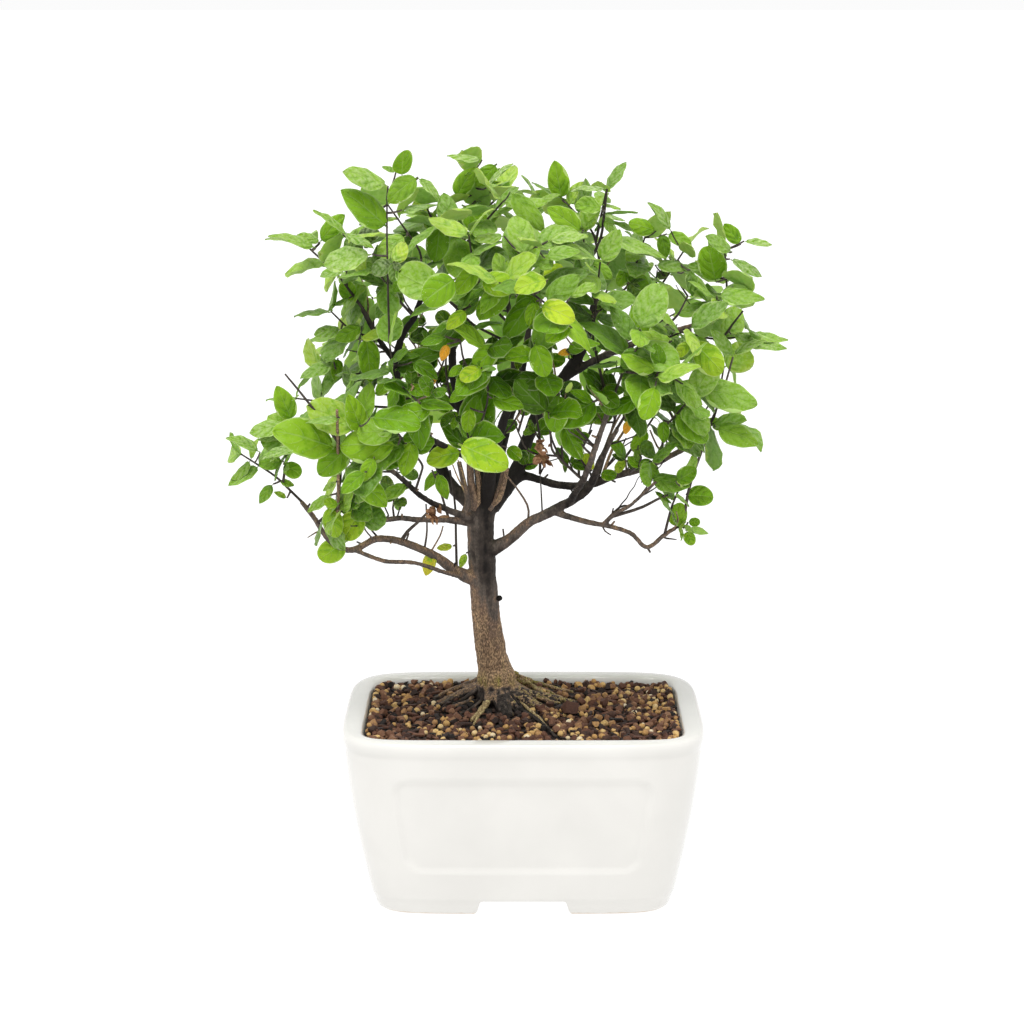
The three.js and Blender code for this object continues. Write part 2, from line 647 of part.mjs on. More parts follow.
// Every shoot's stems come first, then leaves from the tips inwards.
function buildShoots(neighbours) {
  const placed = neighbours.map((solid) => ({ shoot: -1, solid, box: solid.boundingBox() }));
  const pieces = shoots.map(() => []);
  const place = (shoot, solid) => {
    pieces[shoot].push(solid);
    placed.push({ shoot, solid, box: solid.boundingBox() });
  };
  const stems = shoots.flatMap((entry, shoot) =>
    shootStems(entry).map((made, fork) => ({ ...made, shoot, turn: 2 * drawsFrom(shoot * 3 + fork)() - 1 })),
  );
  for (const { curve, shoot } of stems) {
    place(shoot, rod(curve, stemRadius, stem.sides, stem.steps));
  }
  const mostPairs = Math.max(...stems.map(({ pairs }) => pairs));
  for (let pair = 0; pair < mostPairs; pair++) {
    for (const [index, made] of stems.entries()) {
      for (const sign of pair < made.pairs ? [-1, 1] : []) {
        const seed = index * 40 + pair * 2 + (sign + 1) / 2;
        const leaf = leafSolid(made, pair, sign, seed, placed);
        if (leaf) place(made.shoot, leaf);
      }
    }
  }
  return pieces.map((parts) => wasm.Manifold.union(parts));
}

// ---------- The whole object ----------

const materials = {
  glaze: new THREE.MeshStandardMaterial({ color: 0xf4f3ee, roughness: 0.25, metalness: 0 }),
  netting: new THREE.MeshStandardMaterial({ color: 0x2b2b2b, roughness: 0.6, metalness: 0 }),
  soil: new THREE.MeshStandardMaterial({ color: 0x5a3c2c, roughness: 0.95, metalness: 0 }),
  bark: new THREE.MeshStandardMaterial({ color: 0x6b5a4a, roughness: 0.85, metalness: 0 }),
  leaf: new THREE.MeshStandardMaterial({ color: 0x5fa52c, roughness: 0.5, metalness: 0 }),
};

const potSolid = buildPot();
const soilSolid = buildSoil();
const treeSolid = buildTree();

const bonsai = new THREE.Group();
bonsai.add(meshOf("pot", potSolid, materials.glaze));
bonsai.add(meshOf("drain_mesh_left", buildDrainMesh(-drainHole.offset), materials.netting));
bonsai.add(meshOf("drain_mesh_right", buildDrainMesh(drainHole.offset), materials.netting));
bonsai.add(meshOf("soil", soilSolid, materials.soil));
bonsai.add(meshOf("tree", treeSolid, materials.bark));
for (const [index, shoot] of buildShoots([potSolid, soilSolid, treeSolid]).entries()) {
  const number = String(index + 1).padStart(2, "0");
  bonsai.add(meshOf(`shoot_${number}`, shoot, materials.leaf));
}

const extent = new THREE.Box3().setFromObject(bonsai);
const middle = extent.getCenter(new THREE.Vector3());
bonsai.position.set(-middle.x, -middle.y, -extent.min.z);

export default bonsai;
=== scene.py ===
# Serissa bonsai in a glazed pot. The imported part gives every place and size, and this script gives the looks.
import math
import random
from functools import partial
from itertools import product

import bpy
import numpy as np
from mathutils import Euler, Matrix, Quaternion, Vector, noise
from mathutils.bvhtree import BVHTree
from mathutils.kdtree import KDTree


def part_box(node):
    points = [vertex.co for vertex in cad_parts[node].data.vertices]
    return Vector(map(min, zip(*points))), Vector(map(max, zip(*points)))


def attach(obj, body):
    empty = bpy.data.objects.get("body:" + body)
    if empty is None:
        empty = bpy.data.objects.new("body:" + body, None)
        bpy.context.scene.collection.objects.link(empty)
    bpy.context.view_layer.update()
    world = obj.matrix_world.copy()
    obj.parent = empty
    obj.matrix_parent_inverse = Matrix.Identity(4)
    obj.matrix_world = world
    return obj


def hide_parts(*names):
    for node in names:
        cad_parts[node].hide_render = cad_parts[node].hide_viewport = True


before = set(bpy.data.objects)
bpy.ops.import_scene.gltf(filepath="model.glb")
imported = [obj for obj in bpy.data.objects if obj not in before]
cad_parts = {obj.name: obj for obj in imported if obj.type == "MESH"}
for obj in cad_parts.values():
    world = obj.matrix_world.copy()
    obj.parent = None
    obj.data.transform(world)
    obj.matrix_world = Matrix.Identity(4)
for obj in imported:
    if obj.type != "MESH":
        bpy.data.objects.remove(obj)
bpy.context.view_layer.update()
noise.seed_set(5)  # without it, noise vectors would differ at every run
mm = 0.001
potLow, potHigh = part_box("pot")
potMiddle = Vector(((potLow.x + potHigh.x) / 2, (potLow.y + potHigh.y) / 2, 0))


def fromPot(x, y, z):  # millimetres from the middle of the pot's foot, to the frame's metres
    return potMiddle + Vector((x, y, z)) * mm


def toPot(place):
    return (place - potMiddle) / mm


# ---- small tools ----
def clamp(value, low=0, high=1):
    return min(max(value, low), high)


def taper(first, last, count):
    return [first + (last - first) * i / count for i in range(count + 1)]


def drawVector(draw, *spreads):  # a random vector, from a middle and a spread for each axis
    return Vector([draw.gauss(*spread) for spread in spreads or [(0, 1)] * 3])


def squareTo(vector, along):
    return (vector - along * vector.dot(along)).normalized()


def deselectAll():
    if bpy.context.object and bpy.context.object.mode != "OBJECT":
        bpy.ops.object.mode_set(mode="OBJECT")
    bpy.ops.object.select_all(action="DESELECT")


def makeActive(piece):
    deselectAll()
    piece.select_set(True)
    bpy.context.view_layer.objects.active = piece


def startPiece(addShape, name, **settings):
    deselectAll()
    addShape(**settings)
    piece = bpy.context.object
    piece.name = piece.data.name = name
    return piece


def pointOutwards(piece, merge=0):
    makeActive(piece)
    bpy.ops.object.mode_set(mode="EDIT")
    bpy.ops.mesh.select_all(action="SELECT")
    if merge:
        bpy.ops.mesh.remove_doubles(threshold=merge)
    bpy.ops.mesh.normals_make_consistent(inside=False)
    bpy.ops.mesh.select_all(action="DESELECT")
    bpy.ops.object.mode_set(mode="OBJECT")


def applyModifier(piece, kind, **settings):
    makeActive(piece)
    modifier = piece.modifiers.new(kind.lower(), kind)
    for name, value in settings.items():
        setattr(modifier, name, value)
    bpy.ops.object.modifier_apply(modifier=modifier.name)


def joinPieces(pieces, name):
    makeActive(pieces[0])
    for piece in pieces:
        piece.select_set(True)
    bpy.ops.object.join()
    joined = bpy.context.object
    joined.name = joined.data.name = name
    return joined


def pointsOf(piece):
    places = np.empty(len(piece.data.vertices) * 3, np.float32)
    piece.data.vertices.foreach_get("co", places)
    return places.reshape(-1, 3)


def setPoints(piece, places):
    piece.data.vertices.foreach_set("co", np.asarray(places, np.float32).ravel())
    piece.data.update()


def pointTree(places):
    tree = KDTree(len(places))
    for i, place in enumerate(places):
        tree.insert(place, i)
    tree.balance()
    return tree


def setTone(piece, name, values):  # a number at each point that the piece's material reads
    attribute = piece.data.attributes.get(name) or piece.data.attributes.new(name, "FLOAT", "POINT")
    attribute.data.foreach_set("value", np.broadcast_to(values, len(piece.data.vertices)).astype(np.float32))


def coat(piece, *materials):
    piece.data.materials.clear()
    for material in materials:
        piece.data.materials.append(material)


def finishPiece(piece, slot, *nodes, angle=180):
    makeActive(piece)
    if angle:
        bpy.ops.object.shade_smooth_by_angle(angle=math.radians(angle))
    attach(piece, "root")
    if nodes:
        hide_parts(*nodes)


def copyOf(shape):
    piece = shape.copy()
    piece.data = shape.data.copy()
    bpy.context.collection.objects.link(piece)
    return piece


def linearColor(hexValue):
    channels = [int(hexValue[i:i + 2], 16) / 255 for i in (1, 3, 5)]
    return tuple(c / 12.92 if c <= 0.04045 else ((c + 0.055) / 1.055) ** 2.4 for c in channels) + (1.0,)


def plug(material, value, socket):
    if isinstance(value, bpy.types.NodeSocket):
        material.node_tree.links.new(value, socket)
    else:
        socket.default_value = linearColor(value) if isinstance(value, str) else value


def addNode(material, kind, *values, sockets=None, stops=(), out=0, **settings):
    # Values fill the sockets in order, and a setting with a capital letter names its socket.
    node = material.node_tree.nodes.new("ShaderNode" + kind)
    sockets = {**dict(enumerate(values)), **(sockets or {})}
    for name, value in settings.items():
        if name[0].isupper():
            sockets[name] = value
        else:
            setattr(node, name, value)
    for socket, value in sockets.items():
        plug(material, value, node.inputs[socket])
    for i, (place, color) in enumerate(stops):
        elements = node.color_ramp.elements
        element = elements[i] if i < 2 else elements.new(1.0)
        element.position = place
        element.color = linearColor(color)
    return node.outputs[out]


def newMaterial(name):
    material = bpy.data.materials.new(name)
    material.use_nodes = True
    return material, partial(addNode, material)


def fillShader(material, values):
    for socket, value in values.items():
        plug(material, value, material.node_tree.nodes["Principled BSDF"].inputs[socket])
    return material


def drawsFrom(seed):  # numbers from 0 to 1, as the part's source draws them
    state = (seed * 7919 + 12347) % 2147483647

    def draw():
        nonlocal state
        state = state * 48271 % 2147483647
        return state / 2147483647

    draw()
    draw()
    return draw


# ---- materials ----
def glazeMaterial():
    # Stoneware dipped in white feldspar glaze and fired: glassy, slightly uneven, bare clay under the feet
    material, add = newMaterial("dipped white stoneware glaze")
    place = add("TexCoord", out="Object")
    waves = add("TexNoise", Vector=place, Scale=1 / (14 * mm), Detail=2)
    cloud = add("TexNoise", Vector=place, Scale=1 / (30 * mm), Detail=3)
    ragged = add("TexNoise", Vector=place, Scale=1 / (5 * mm), Detail=3)
    tint = add("ValToRGB", cloud, stops=[(0.35, "#dedcd7"), (0.65, "#e3e1dc")])
    edge = add("Math", ragged, 1.6 * mm, operation="MULTIPLY")
    bare = add("Math", add("SeparateXYZ", place, out="Z"), edge, operation="LESS_THAN")
    color = add("Mix", bare, sockets={6: tint, 7: "#cbb9a2"}, out=2, data_type="RGBA")
    return fillShader(material, {
        "Base Color": color,
        "Roughness": add("MapRange", bare, 0, 1, 0.16, 0.8),
        "Normal": add("Bump", Height=waves, Strength=0.25, Distance=0.3 * mm),
        "IOR": 1.5,
        "Coat Weight": 0.4,
        "Coat Roughness": 0.06,
    })


def barkMaterial():
    # Living bark: grey-brown skin on the limbs, corky and tan low on the trunk, flecked with raised pores
    material, add = newMaterial("living corky bark")
    place = add("TexCoord", out="Object")
    tone = add("Attribute", out="Fac", attribute_name="barkTone")
    stretched = add("Mapping", place, Scale=(1, 1, 0.55))
    streaked = add("Mapping", place, Scale=(1, 1, 0.16))
    flecks = add("TexNoise", Vector=stretched, Scale=1 / (0.55 * mm), Detail=4, Roughness=0.6)
    streaks = add("TexNoise", Vector=streaked, Scale=1 / (2.2 * mm), Detail=4)
    pores = add("TexVoronoi", Vector=stretched, Scale=1 / (0.9 * mm), Randomness=1)
    toned = add("Math", tone, add("Math", streaks, 0.5, -0.25, operation="MULTIPLY_ADD"), operation="ADD")
    base = add("ValToRGB", toned, stops=[
        (0.0, "#1b1614"), (0.25, "#4a423d"), (0.38, "#6a615a"), (0.5, "#877262"), (0.62, "#a08970"),
        (0.72, "#b9a184"), (0.83, "#b5a078"), (0.91, "#86853f"), (1.0, "#c2b78a"),
    ])
    fleckLight = add("ValToRGB", flecks, stops=[(0.34, "#332d2b"), (0.5, "#88807b"), (0.64, "#ecdfd2")])
    corky = add("MapRange", tone, 0.3, 0.7, 0.3, 0.85)
    color = add("Mix", corky, sockets={6: base, 7: fleckLight}, out=2, data_type="RGBA", blend_type="OVERLAY")
    relief = add("Math", pores, 0.3, flecks, operation="MULTIPLY_ADD")
    return fillShader(material, {
        "Base Color": color,
        "Normal": add("Bump", Height=relief, Strength=0.6, Distance=0.25 * mm),
        "Roughness": 0.78,
        "Specular IOR Level": 0.3,
    })


leafLook = {
    "veinPairs": 3.6,
    "veinSweep": 0.42,  # how far towards the tip a side vein reaches, as a share of the blade's length
    "gloss": 0.38,
    "underGloss": 0.6,
}


def leafMaterial(name, stops, roughness, relief, veinColor):
    # Living leaf: a waxy upper face with sunk veins that bulges between them, and a matt, paler lower face
    material, add = newMaterial(name)
    onLeaf = add("SeparateXYZ", add("TexCoord", out="UV")).node.outputs
    lengthwise, across = onLeaf["X"], onLeaf["Y"]
    place = add("TexCoord", out="Object")
    tone = add("Attribute", out="Fac", attribute_name="leafTone")
    paintedSheenShare = add("Attribute", out="Fac", attribute_name="leafBloom")
    blotch = add("TexNoise", Vector=place, Scale=1 / (5 * mm), Detail=3)
    grain = add("TexNoise", Vector=place, Scale=1 / (1.1 * mm), Detail=3)
    dust = add("TexNoise", Vector=place, Scale=1 / (0.8 * mm), Detail=2)
    side = add("Math", add("Math", across, 0.5, operation="SUBTRACT"), operation="ABSOLUTE")
    # Veins that sweep from the midrib to the tip
    bowed = add("Math", side, 1.35, operation="POWER")
    swept = add("Math", bowed, -2.4 * leafLook["veinSweep"], lengthwise, operation="MULTIPLY_ADD")
    phase = add("Math", swept, leafLook["veinPairs"], operation="MULTIPLY")
    ripple = add("Math", phase, 0.5, operation="PINGPONG")
    sideVein = add("MapRange", ripple, 0, 0.09, 0.7, 0)
    fade = add("MapRange", side, 0.25, 0.46, 1, 0)
    faded = add("Math", sideVein, fade, operation="MULTIPLY")
    rib = add("MapRange", side, 0.006, 0.04, 1, 0)
    veins = add("Math", faded, rib, operation="MAXIMUM")
    # The blade's green, blotched and lighter to its margin and tip
    shift = add("Math", blotch, 0.6, -0.44, operation="MULTIPLY_ADD")
    fine = add("Math", grain, 0.2, shift, operation="MULTIPLY_ADD")
    rippled = add("Math", ripple, 0.16, fine, operation="MULTIPLY_ADD")
    outer = add("Math", side, lengthwise, operation="MAXIMUM")
    bulge = add("Math", outer, 0.2, rippled, operation="MULTIPLY_ADD")
    ceiling = add("Math", tone, 0.1, operation="ADD")
    toned = add("Math", add("Math", tone, bulge, operation="ADD"), ceiling, operation="MINIMUM")
    blade = add("ValToRGB", toned, stops=stops)
    # What is pale on it: the margin, the veins, a painted sheen (pale colour standing in for the glint of outer
    # leaves seen at a grazing angle) and specks of lime from hard water
    margin = add("MapRange", side, 0.44, 0.5, 0, 0.3)
    veinShare = add("Math", veins, 0.12, operation="MULTIPLY")
    # Painted sheen: paler on the bulges between the veins, as far as the leaf's painted sheen share allows.
    swollen = add("Math", ripple, 0.35, grain, operation="MULTIPLY_ADD")
    paintedSheenMask = add("Math", add("MapRange", swollen, 0.4, 0.8, 0.05, 0.6), paintedSheenShare, operation="MULTIPLY")
    specks = add("MapRange", dust, 0.66, 0.74, 0, 0.6)
    dusty = add("Math", specks, add("MapRange", side, 0.1, 0.5, 0.2, 1), operation="MULTIPLY")
    pale = margin
    for part in (veinShare, dusty, paintedSheenMask):
        pale = add("Math", pale, part, operation="MAXIMUM")
    swell = add("Math", ripple, 2.2, grain, operation="MULTIPLY_ADD")
    height = add("Math", veins, -0.9, swell, operation="MULTIPLY_ADD")
    return fillShader(material, {
        "Base Color": add("Mix", pale, sockets={6: blade, 7: veinColor}, out=2, data_type="RGBA"),
        "Normal": add("Bump", Height=height, Strength=relief, Distance=0.4 * mm),
        "Roughness": add("MapRange", grain, 0, 1, roughness - 0.12, roughness + 0.12),
        "IOR": 1.45,
        "Specular IOR Level": 0.14,
        "Subsurface Weight": 0.2,
        "Subsurface Radius": (1.0, 1.4, 0.3),
        "Subsurface Scale": 1.0 * mm,
    })


def grainMaterial():
    # Loose bonsai mix: crushed lava and rotted bark, damp and dark, with rolled grains of baked clay
    material, add = newMaterial("damp lava and clay grit")
    tone = add("Attribute", out="Fac", attribute_name="grainTone")
    speckle = add("TexNoise", Vector=add("TexCoord", out="Object"), Scale=1 / (0.8 * mm), Detail=4)
    shift = add("Math", speckle, 0.24, -0.12, operation="MULTIPLY_ADD")
    color = add("ValToRGB", add("Math", tone, shift, operation="ADD"), stops=[
        (0.0, "#160f0d"), (0.2, "#3a251d"), (0.4, "#664130"), (0.56, "#90694e"), (0.7, "#c4975b"),
        (0.84, "#e4c180"), (1.0, "#efe5cf"),
    ])
    bump = add("Bump", Height=speckle, Strength=0.8, Distance=0.3 * mm)
    return fillShader(material, {"Base Color": color, "Normal": bump, "Roughness": 0.78})


def mottledMaterial(name, grainSize, detail, stops, relief, depth, roughness):
    material, add = newMaterial(name)
    mottle = add("TexNoise", Vector=add("TexCoord", out="Object"), Scale=1 / (grainSize * mm), Detail=detail)
    bump = add("Bump", Height=mottle, Strength=relief, Distance=depth * mm)
    return fillShader(
        material, {"Base Color": add("ValToRGB", mottle, stops=stops), "Normal": bump, "Roughness": roughness}
    )


greenStops = [
    (0.0, "#1f3203"), (0.2, "#3a5a06"), (0.4, "#557f0b"), (0.58, "#6d9912"),
    (0.74, "#86ae1f"), (0.86, "#b3cb30"), (0.95, "#dcc236"), (1.0, "#d8992c"),
]
paleStops = [
    (0.0, "#547c2c"), (0.3, "#76a040"), (0.6, "#98c054"),
    (0.8, "#b4ce62"), (0.92, "#d3c95e"), (1.0, "#cf9f48"),
]
glaze = glazeMaterial()
bark = barkMaterial()
leafTop = leafMaterial("waxy leaf upper face", greenStops, leafLook["gloss"], 0.6, "#d6dfb6")
leafUnder = leafMaterial("matt leaf lower face", paleStops, leafLook["underGloss"], -0.3, "#c3d6a0")
grit = grainMaterial()
# Injection-moulded polyethylene, black and slightly greasy to the eye
nettingStops = [(0.3, "#191919"), (0.7, "#2a2a29")]
netting = mottledMaterial("moulded black polyethylene", 0.5, 2, nettingStops, 0.2, 0.1, 0.5)
# Withered leaf: rust brown and papery, darker in the folds
huskStops = [(0.3, "#5f3d28"), (0.5, "#94694a"), (0.7, "#c49c74")]
husks = mottledMaterial("withered papery leaf", 1.6, 4, huskStops, 0.8, 0.3, 0.85)
print("materials made")

# ---- camera, light and floor ----
studio = {
    "lens": 87.1,
    "distance": 1010,
    "eyeHeight": 367,
    "lookDown": 11.55,
    "shift": -0.0108,
    "floorRadius": 200.0,
    "sunTurn": (18, -6, 0),
    "sunWidth": 30,
    "sunPower": 2.2,
    "skyGlow": 0.84,
    "horizonGlow": 0.97,
    "tableGlow": 0.92,
}


def buildStudio():
    scene = bpy.context.scene
    deselectAll()
    eye = fromPot(0, -studio["distance"], studio["eyeHeight"])
    bpy.ops.object.camera_add(location=eye, rotation=(math.radians(90 - studio["lookDown"]), 0, 0))
    scene.camera = bpy.context.object
    scene.camera.data.lens = studio["lens"]
    scene.camera.data.shift_x = studio["shift"]
    deselectAll()
    bpy.ops.object.light_add(type="SUN", rotation=[math.radians(angle) for angle in studio["sunTurn"]])
    sun = bpy.context.object
    sun.data.angle = math.radians(studio["sunWidth"])
    sun.data.energy = studio["sunPower"]
    world = bpy.data.worlds.new("white studio")
    world.use_nodes = True
    rise = addNode(world, "SeparateXYZ", addNode(world, "TexCoord", out="Generated"), out="Z")
    glow = addNode(world, "MapRange", rise, 0, 0.3, studio["horizonGlow"], studio["skyGlow"])
    backdrop = world.node_tree.nodes["Background"]
    plug(world, "#ffffff", backdrop.inputs["Color"])
    plug(world, glow, backdrop.inputs["Strength"])
    scene.world = world
    scene.view_settings.view_transform = "Standard"
    circle = {"vertices": 96, "radius": studio["floorRadius"], "fill_type": "NGON"}
    floor = startPiece(bpy.ops.mesh.primitive_circle_add, "floor", **circle)
    table = newMaterial("lit white acrylic table")[0]
    coat(floor, fillShader(table, {
        "Base Color": "#767676",
        "Roughness": 0.9,
        "Specular IOR Level": 0.1,
        "Emission Color": "#ffffff",
        "Emission Strength": studio["tableGlow"],
    }))


buildStudio()
print("studio set")
eye = Vector((0, -studio["distance"], studio["eyeHeight"]))
lookDown = math.radians(studio["lookDown"])
pixelsPerUnit = studio["lens"] / 36 * 1024
middleX = 512 - studio["shift"] * 1024


def rayTo(x, y):  # from the camera through a place in the 1024 by 1024 view
    ahead = Vector((0, math.cos(lookDown), -math.sin(lookDown)))
    rise = Vector((0, math.sin(lookDown), math.cos(lookDown)))
    sideways = Vector((1, 0, 0)) * ((x - middleX) / pixelsPerUnit)
    return (ahead + sideways + rise * ((512 - y) / pixelsPerUnit)).normalized()


def placeAt(x, y, depth):
    ray = rayTo(x, y)
    return eye + ray * ((depth - eye.y) / ray.y)


def seenAt(place):  # where a place shows in the view
    offset = place - eye
    ahead = offset.y * math.cos(lookDown) - offset.z * math.sin(lookDown)
    rise = offset.y * math.sin(lookDown) + offset.z * math.cos(lookDown)
    return middleX + pixelsPerUnit * offset.x / ahead, 512 - pixelsPerUnit * rise / ahead


# ---- pot ----
potSize = {
    "length": (potHigh.x - potLow.x) / mm,
    "depth": (potHigh.y - potLow.y) / mm,
    "height": (potHigh.z - potLow.z) / mm,
    "roundness": 5.5,  # exponent of the superellipse that its plan follows
    "innerRoundness": 9,
    "taper": 12.6,
    "bulge": 1.45,
    "rimWidth": 9.5,
    "lipHeight": 6,
    "lipStep": 0.45,
    "footHeight": 6.5,
    "floorTop": 12,
    "panelDepth": 0.85,
    "panelBottom": 20.5,
    "panelTop": 60.5,
    "panelLongHalf": 53,
    "panelEndHalf": 36,
    "panelLean": 6,
    "panelRadius": 7,
    "panelEdge": 1.2,  # width of the soft step round a panel
    "footGapLength": 36,
    "footGapDepth": 28,
    "pointsRound": 320,
}
drain = {"radius": 6, "offset": 26, "meshSide": 20, "meshHoles": 8, "strand": 0.7, "clearance": 0.3}


def potInset(z):
    return potSize["taper"] * max(0, 1 - z / potSize["height"]) ** potSize["bulge"]


def halfSpan(inset):  # half the pot's length and depth, so far inside its rim
    return potSize["length"] / 2 - inset, potSize["depth"] / 2 - inset


def superellipseRing(inset, exponent, count):  # points evenly spaced round one section of the pot
    angle = np.linspace(0, 2 * np.pi, 4001)
    ways = zip(halfSpan(inset), (np.cos(angle), np.sin(angle)))
    x, y = (half * np.sign(way) * np.abs(way) ** (2 / exponent) for half, way in ways)
    walked = np.concatenate([[0], np.cumsum(np.hypot(np.diff(x), np.diff(y)))])
    even = np.linspace(0, walked[-1], count, endpoint=False)
    return np.stack([np.interp(even, walked, x), np.interp(even, walked, y)], axis=1)


def panelShare(along, z, halfTop):  # 1 inside a sunk panel, 0 outside it, and a soft step between
    top, bottom, radius = potSize["panelTop"], potSize["panelBottom"], potSize["panelRadius"]
    half = halfTop - potSize["panelLean"] * (top - z) / (top - bottom)
    beyondX = abs(along) - (half - radius)
    beyondZ = abs(z - (top + bottom) / 2) - ((top - bottom) / 2 - radius)
    outside = math.hypot(max(beyondX, 0), max(beyondZ, 0)) + min(max(beyondX, beyondZ), 0) - radius
    share = clamp(0.5 - outside / potSize["panelEdge"])
    return share * share * (3 - 2 * share)


def potSections():  # [height, inset, exponent] up the outside, over the lip and down the inside
    top, rim, floorTop = potSize["height"], potSize["rimWidth"], potSize["floorTop"]
    lipBottom = top - potSize["lipHeight"]
    outer, inner = potSize["roundness"], potSize["innerRoundness"]
    foot = [(0, 2.9), (0.3, 1.971), (1.0, 1.3), (2.2, 1.0), (4.2, 0.9), (6.2, 0.85)]
    sections = [(z, potInset(z) + beyond, outer + 1.2) for z, beyond in foot]
    walls = [6.9] + list(np.arange(7.9, lipBottom - 1.4, 1.35))
    sections += [(z, potInset(z) + potSize["lipStep"], outer + 1.2 * (1 - z / top)) for z in walls]
    step = [(-1.2, 0.5), (-0.5, 0.4), (0.2, 0.18), (0.9, 0)]
    sections += [(lipBottom + z, potInset(lipBottom) + beyond, outer) for z, beyond in step]
    lip = [(4, 0.12), (2.6, 0), (1.5, 0.15), (0.7, 0.6), (0.2, 1.3)]
    sections += [(top - down, inset, outer) for down, inset in lip]
    sections += [(top, 2.3, outer + 0.5), (top, rim - 3.4, inner - 1)]
    mouth = [(0.15, 2.2), (0.6, 1.2), (1.4, 0.5), (2.6, 0)]
    sections += [(top - down, rim - short, inner) for down, short in mouth]
    sections += [(z, potInset(z) + rim, inner) for z in (66, 54, 40, 26, floorTop + 5)]
    sections += [(floorTop + z, potInset(floorTop) + rim + beyond, inner) for z, beyond in ((1.5, 1), (0, 3))]
    return sections


def drainCutter(x):
    size = {"radius": drain["radius"] * mm, "depth": 30 * mm, "location": fromPot(x, 0, 9)}
    return startPiece(bpy.ops.mesh.primitive_cylinder_add, "drain_cutter", vertices=48, **size)


def extrudeUp(piece, times=1):  # every time another layer, a metre higher, whose points are placed afterwards
    makeActive(piece)
    bpy.ops.object.mode_set(mode="EDIT")
    bpy.ops.mesh.select_all(action="SELECT")
    for _ in range(times):
        bpy.ops.mesh.extrude_region_move(TRANSFORM_OT_translate={"value": (0, 0, 1)})
    bpy.ops.object.mode_set(mode="OBJECT")
    return pointsOf(piece)


def gapCutter(halfWidth, halfLength, turn):  # a bar with the sloping, flared sides of the gaps between feet
    foot = potSize["footHeight"]
    side = [(-1.6, foot), (-0.7, foot - 0.25), (-0.2, foot - 0.8), (0.4, 3.6), (0.9, 1.9), (1.5, 0.8)]
    side += [(2.4, 0.2), (3.4, -3)]
    outline = [(halfWidth + wide, z) for wide, z in side]
    outline += [(-halfWidth - wide, z) for wide, z in reversed(side)]
    circle = {"vertices": len(outline), "radius": 1, "fill_type": "NGON"}
    bar = startPiece(bpy.ops.mesh.primitive_circle_add, "gap_cutter", **circle)
    places = extrudeUp(bar)
    for i, (_, _, end) in enumerate(places.copy()):
        wide, z = outline[i % len(outline)]
        along = halfLength if end > 0.5 else -halfLength
        places[i] = fromPot(*((wide, along, z) if turn else (along, wide, z)))
    setPoints(bar, places)
    pointOutwards(bar)
    return bar


def buildPot():
    sections = potSections()
    count = potSize["pointsRound"]
    circle = {"vertices": count, "radius": 1, "fill_type": "NGON"}
    pot = startPiece(bpy.ops.mesh.primitive_circle_add, "glazed_pot", **circle)
    places = extrudeUp(pot, len(sections) - 1)
    level = np.rint(places[:, 2]).astype(int)
    turn = np.rint(np.arctan2(places[:, 1], places[:, 0]) / (2 * np.pi) * count).astype(int) % count
    rings = [superellipseRing(inset, exponent, count) for _, inset, exponent in sections]
    panelled = potSize["height"] - potSize["lipHeight"] - 2
    for i in range(len(places)):
        z, inset, _ = sections[level[i]]
        x, y = rings[level[i]][turn[i]]
        if level[i] < len(sections) - 12 and z < panelled:
            halfX, halfY = halfSpan(inset)
            onLong, onEnd = halfY - abs(y) < 4, halfX - abs(x) < 4
            if onLong:
                y -= math.copysign(potSize["panelDepth"] * panelShare(x, z, potSize["panelLongHalf"]), y)
            if onEnd:
                x -= math.copysign(potSize["panelDepth"] * panelShare(y, z, potSize["panelEndHalf"]), x)
        places[i] = fromPot(x, y, z)
    setPoints(pot, places)
    pointOutwards(pot)
    cuts = [
        gapCutter(potSize["footGapLength"] / 2, 200, True),
        gapCutter(potSize["footGapDepth"] / 2, 200, False),
        gapCutter(42, 27, True),
        drainCutter(-drain["offset"]),
        drainCutter(drain["offset"]),
    ]
    for tool in cuts:
        applyModifier(pot, "BOOLEAN", operation="DIFFERENCE", object=tool, solver="EXACT")
        bpy.data.objects.remove(tool)
    coat(pot, glaze)
    finishPiece(pot, "glaze", "pot", angle=38)


def buildDrainMesh(x, node):
    place = fromPot(x, 0, potSize["floorTop"] + drain["clearance"] + drain["strand"] / 2)
    holes = drain["meshHoles"]
    size = {"x_subdivisions": holes, "y_subdivisions": holes, "size": drain["meshSide"] * mm}
    net = startPiece(bpy.ops.mesh.primitive_grid_add, node + "_net", location=place, **size)
    bpy.ops.object.transform_apply(location=True, rotation=True, scale=True)
    applyModifier(net, "WIREFRAME", thickness=drain["strand"] * mm, use_boundary=True, use_even_offset=False)
    coat(net, netting)
    finishPiece(net, "netting", node, angle=0)


buildPot()
buildDrainMesh(-drain["offset"], "drain_mesh_left")
buildDrainMesh(drain["offset"], "drain_mesh_right")
print("pot made")

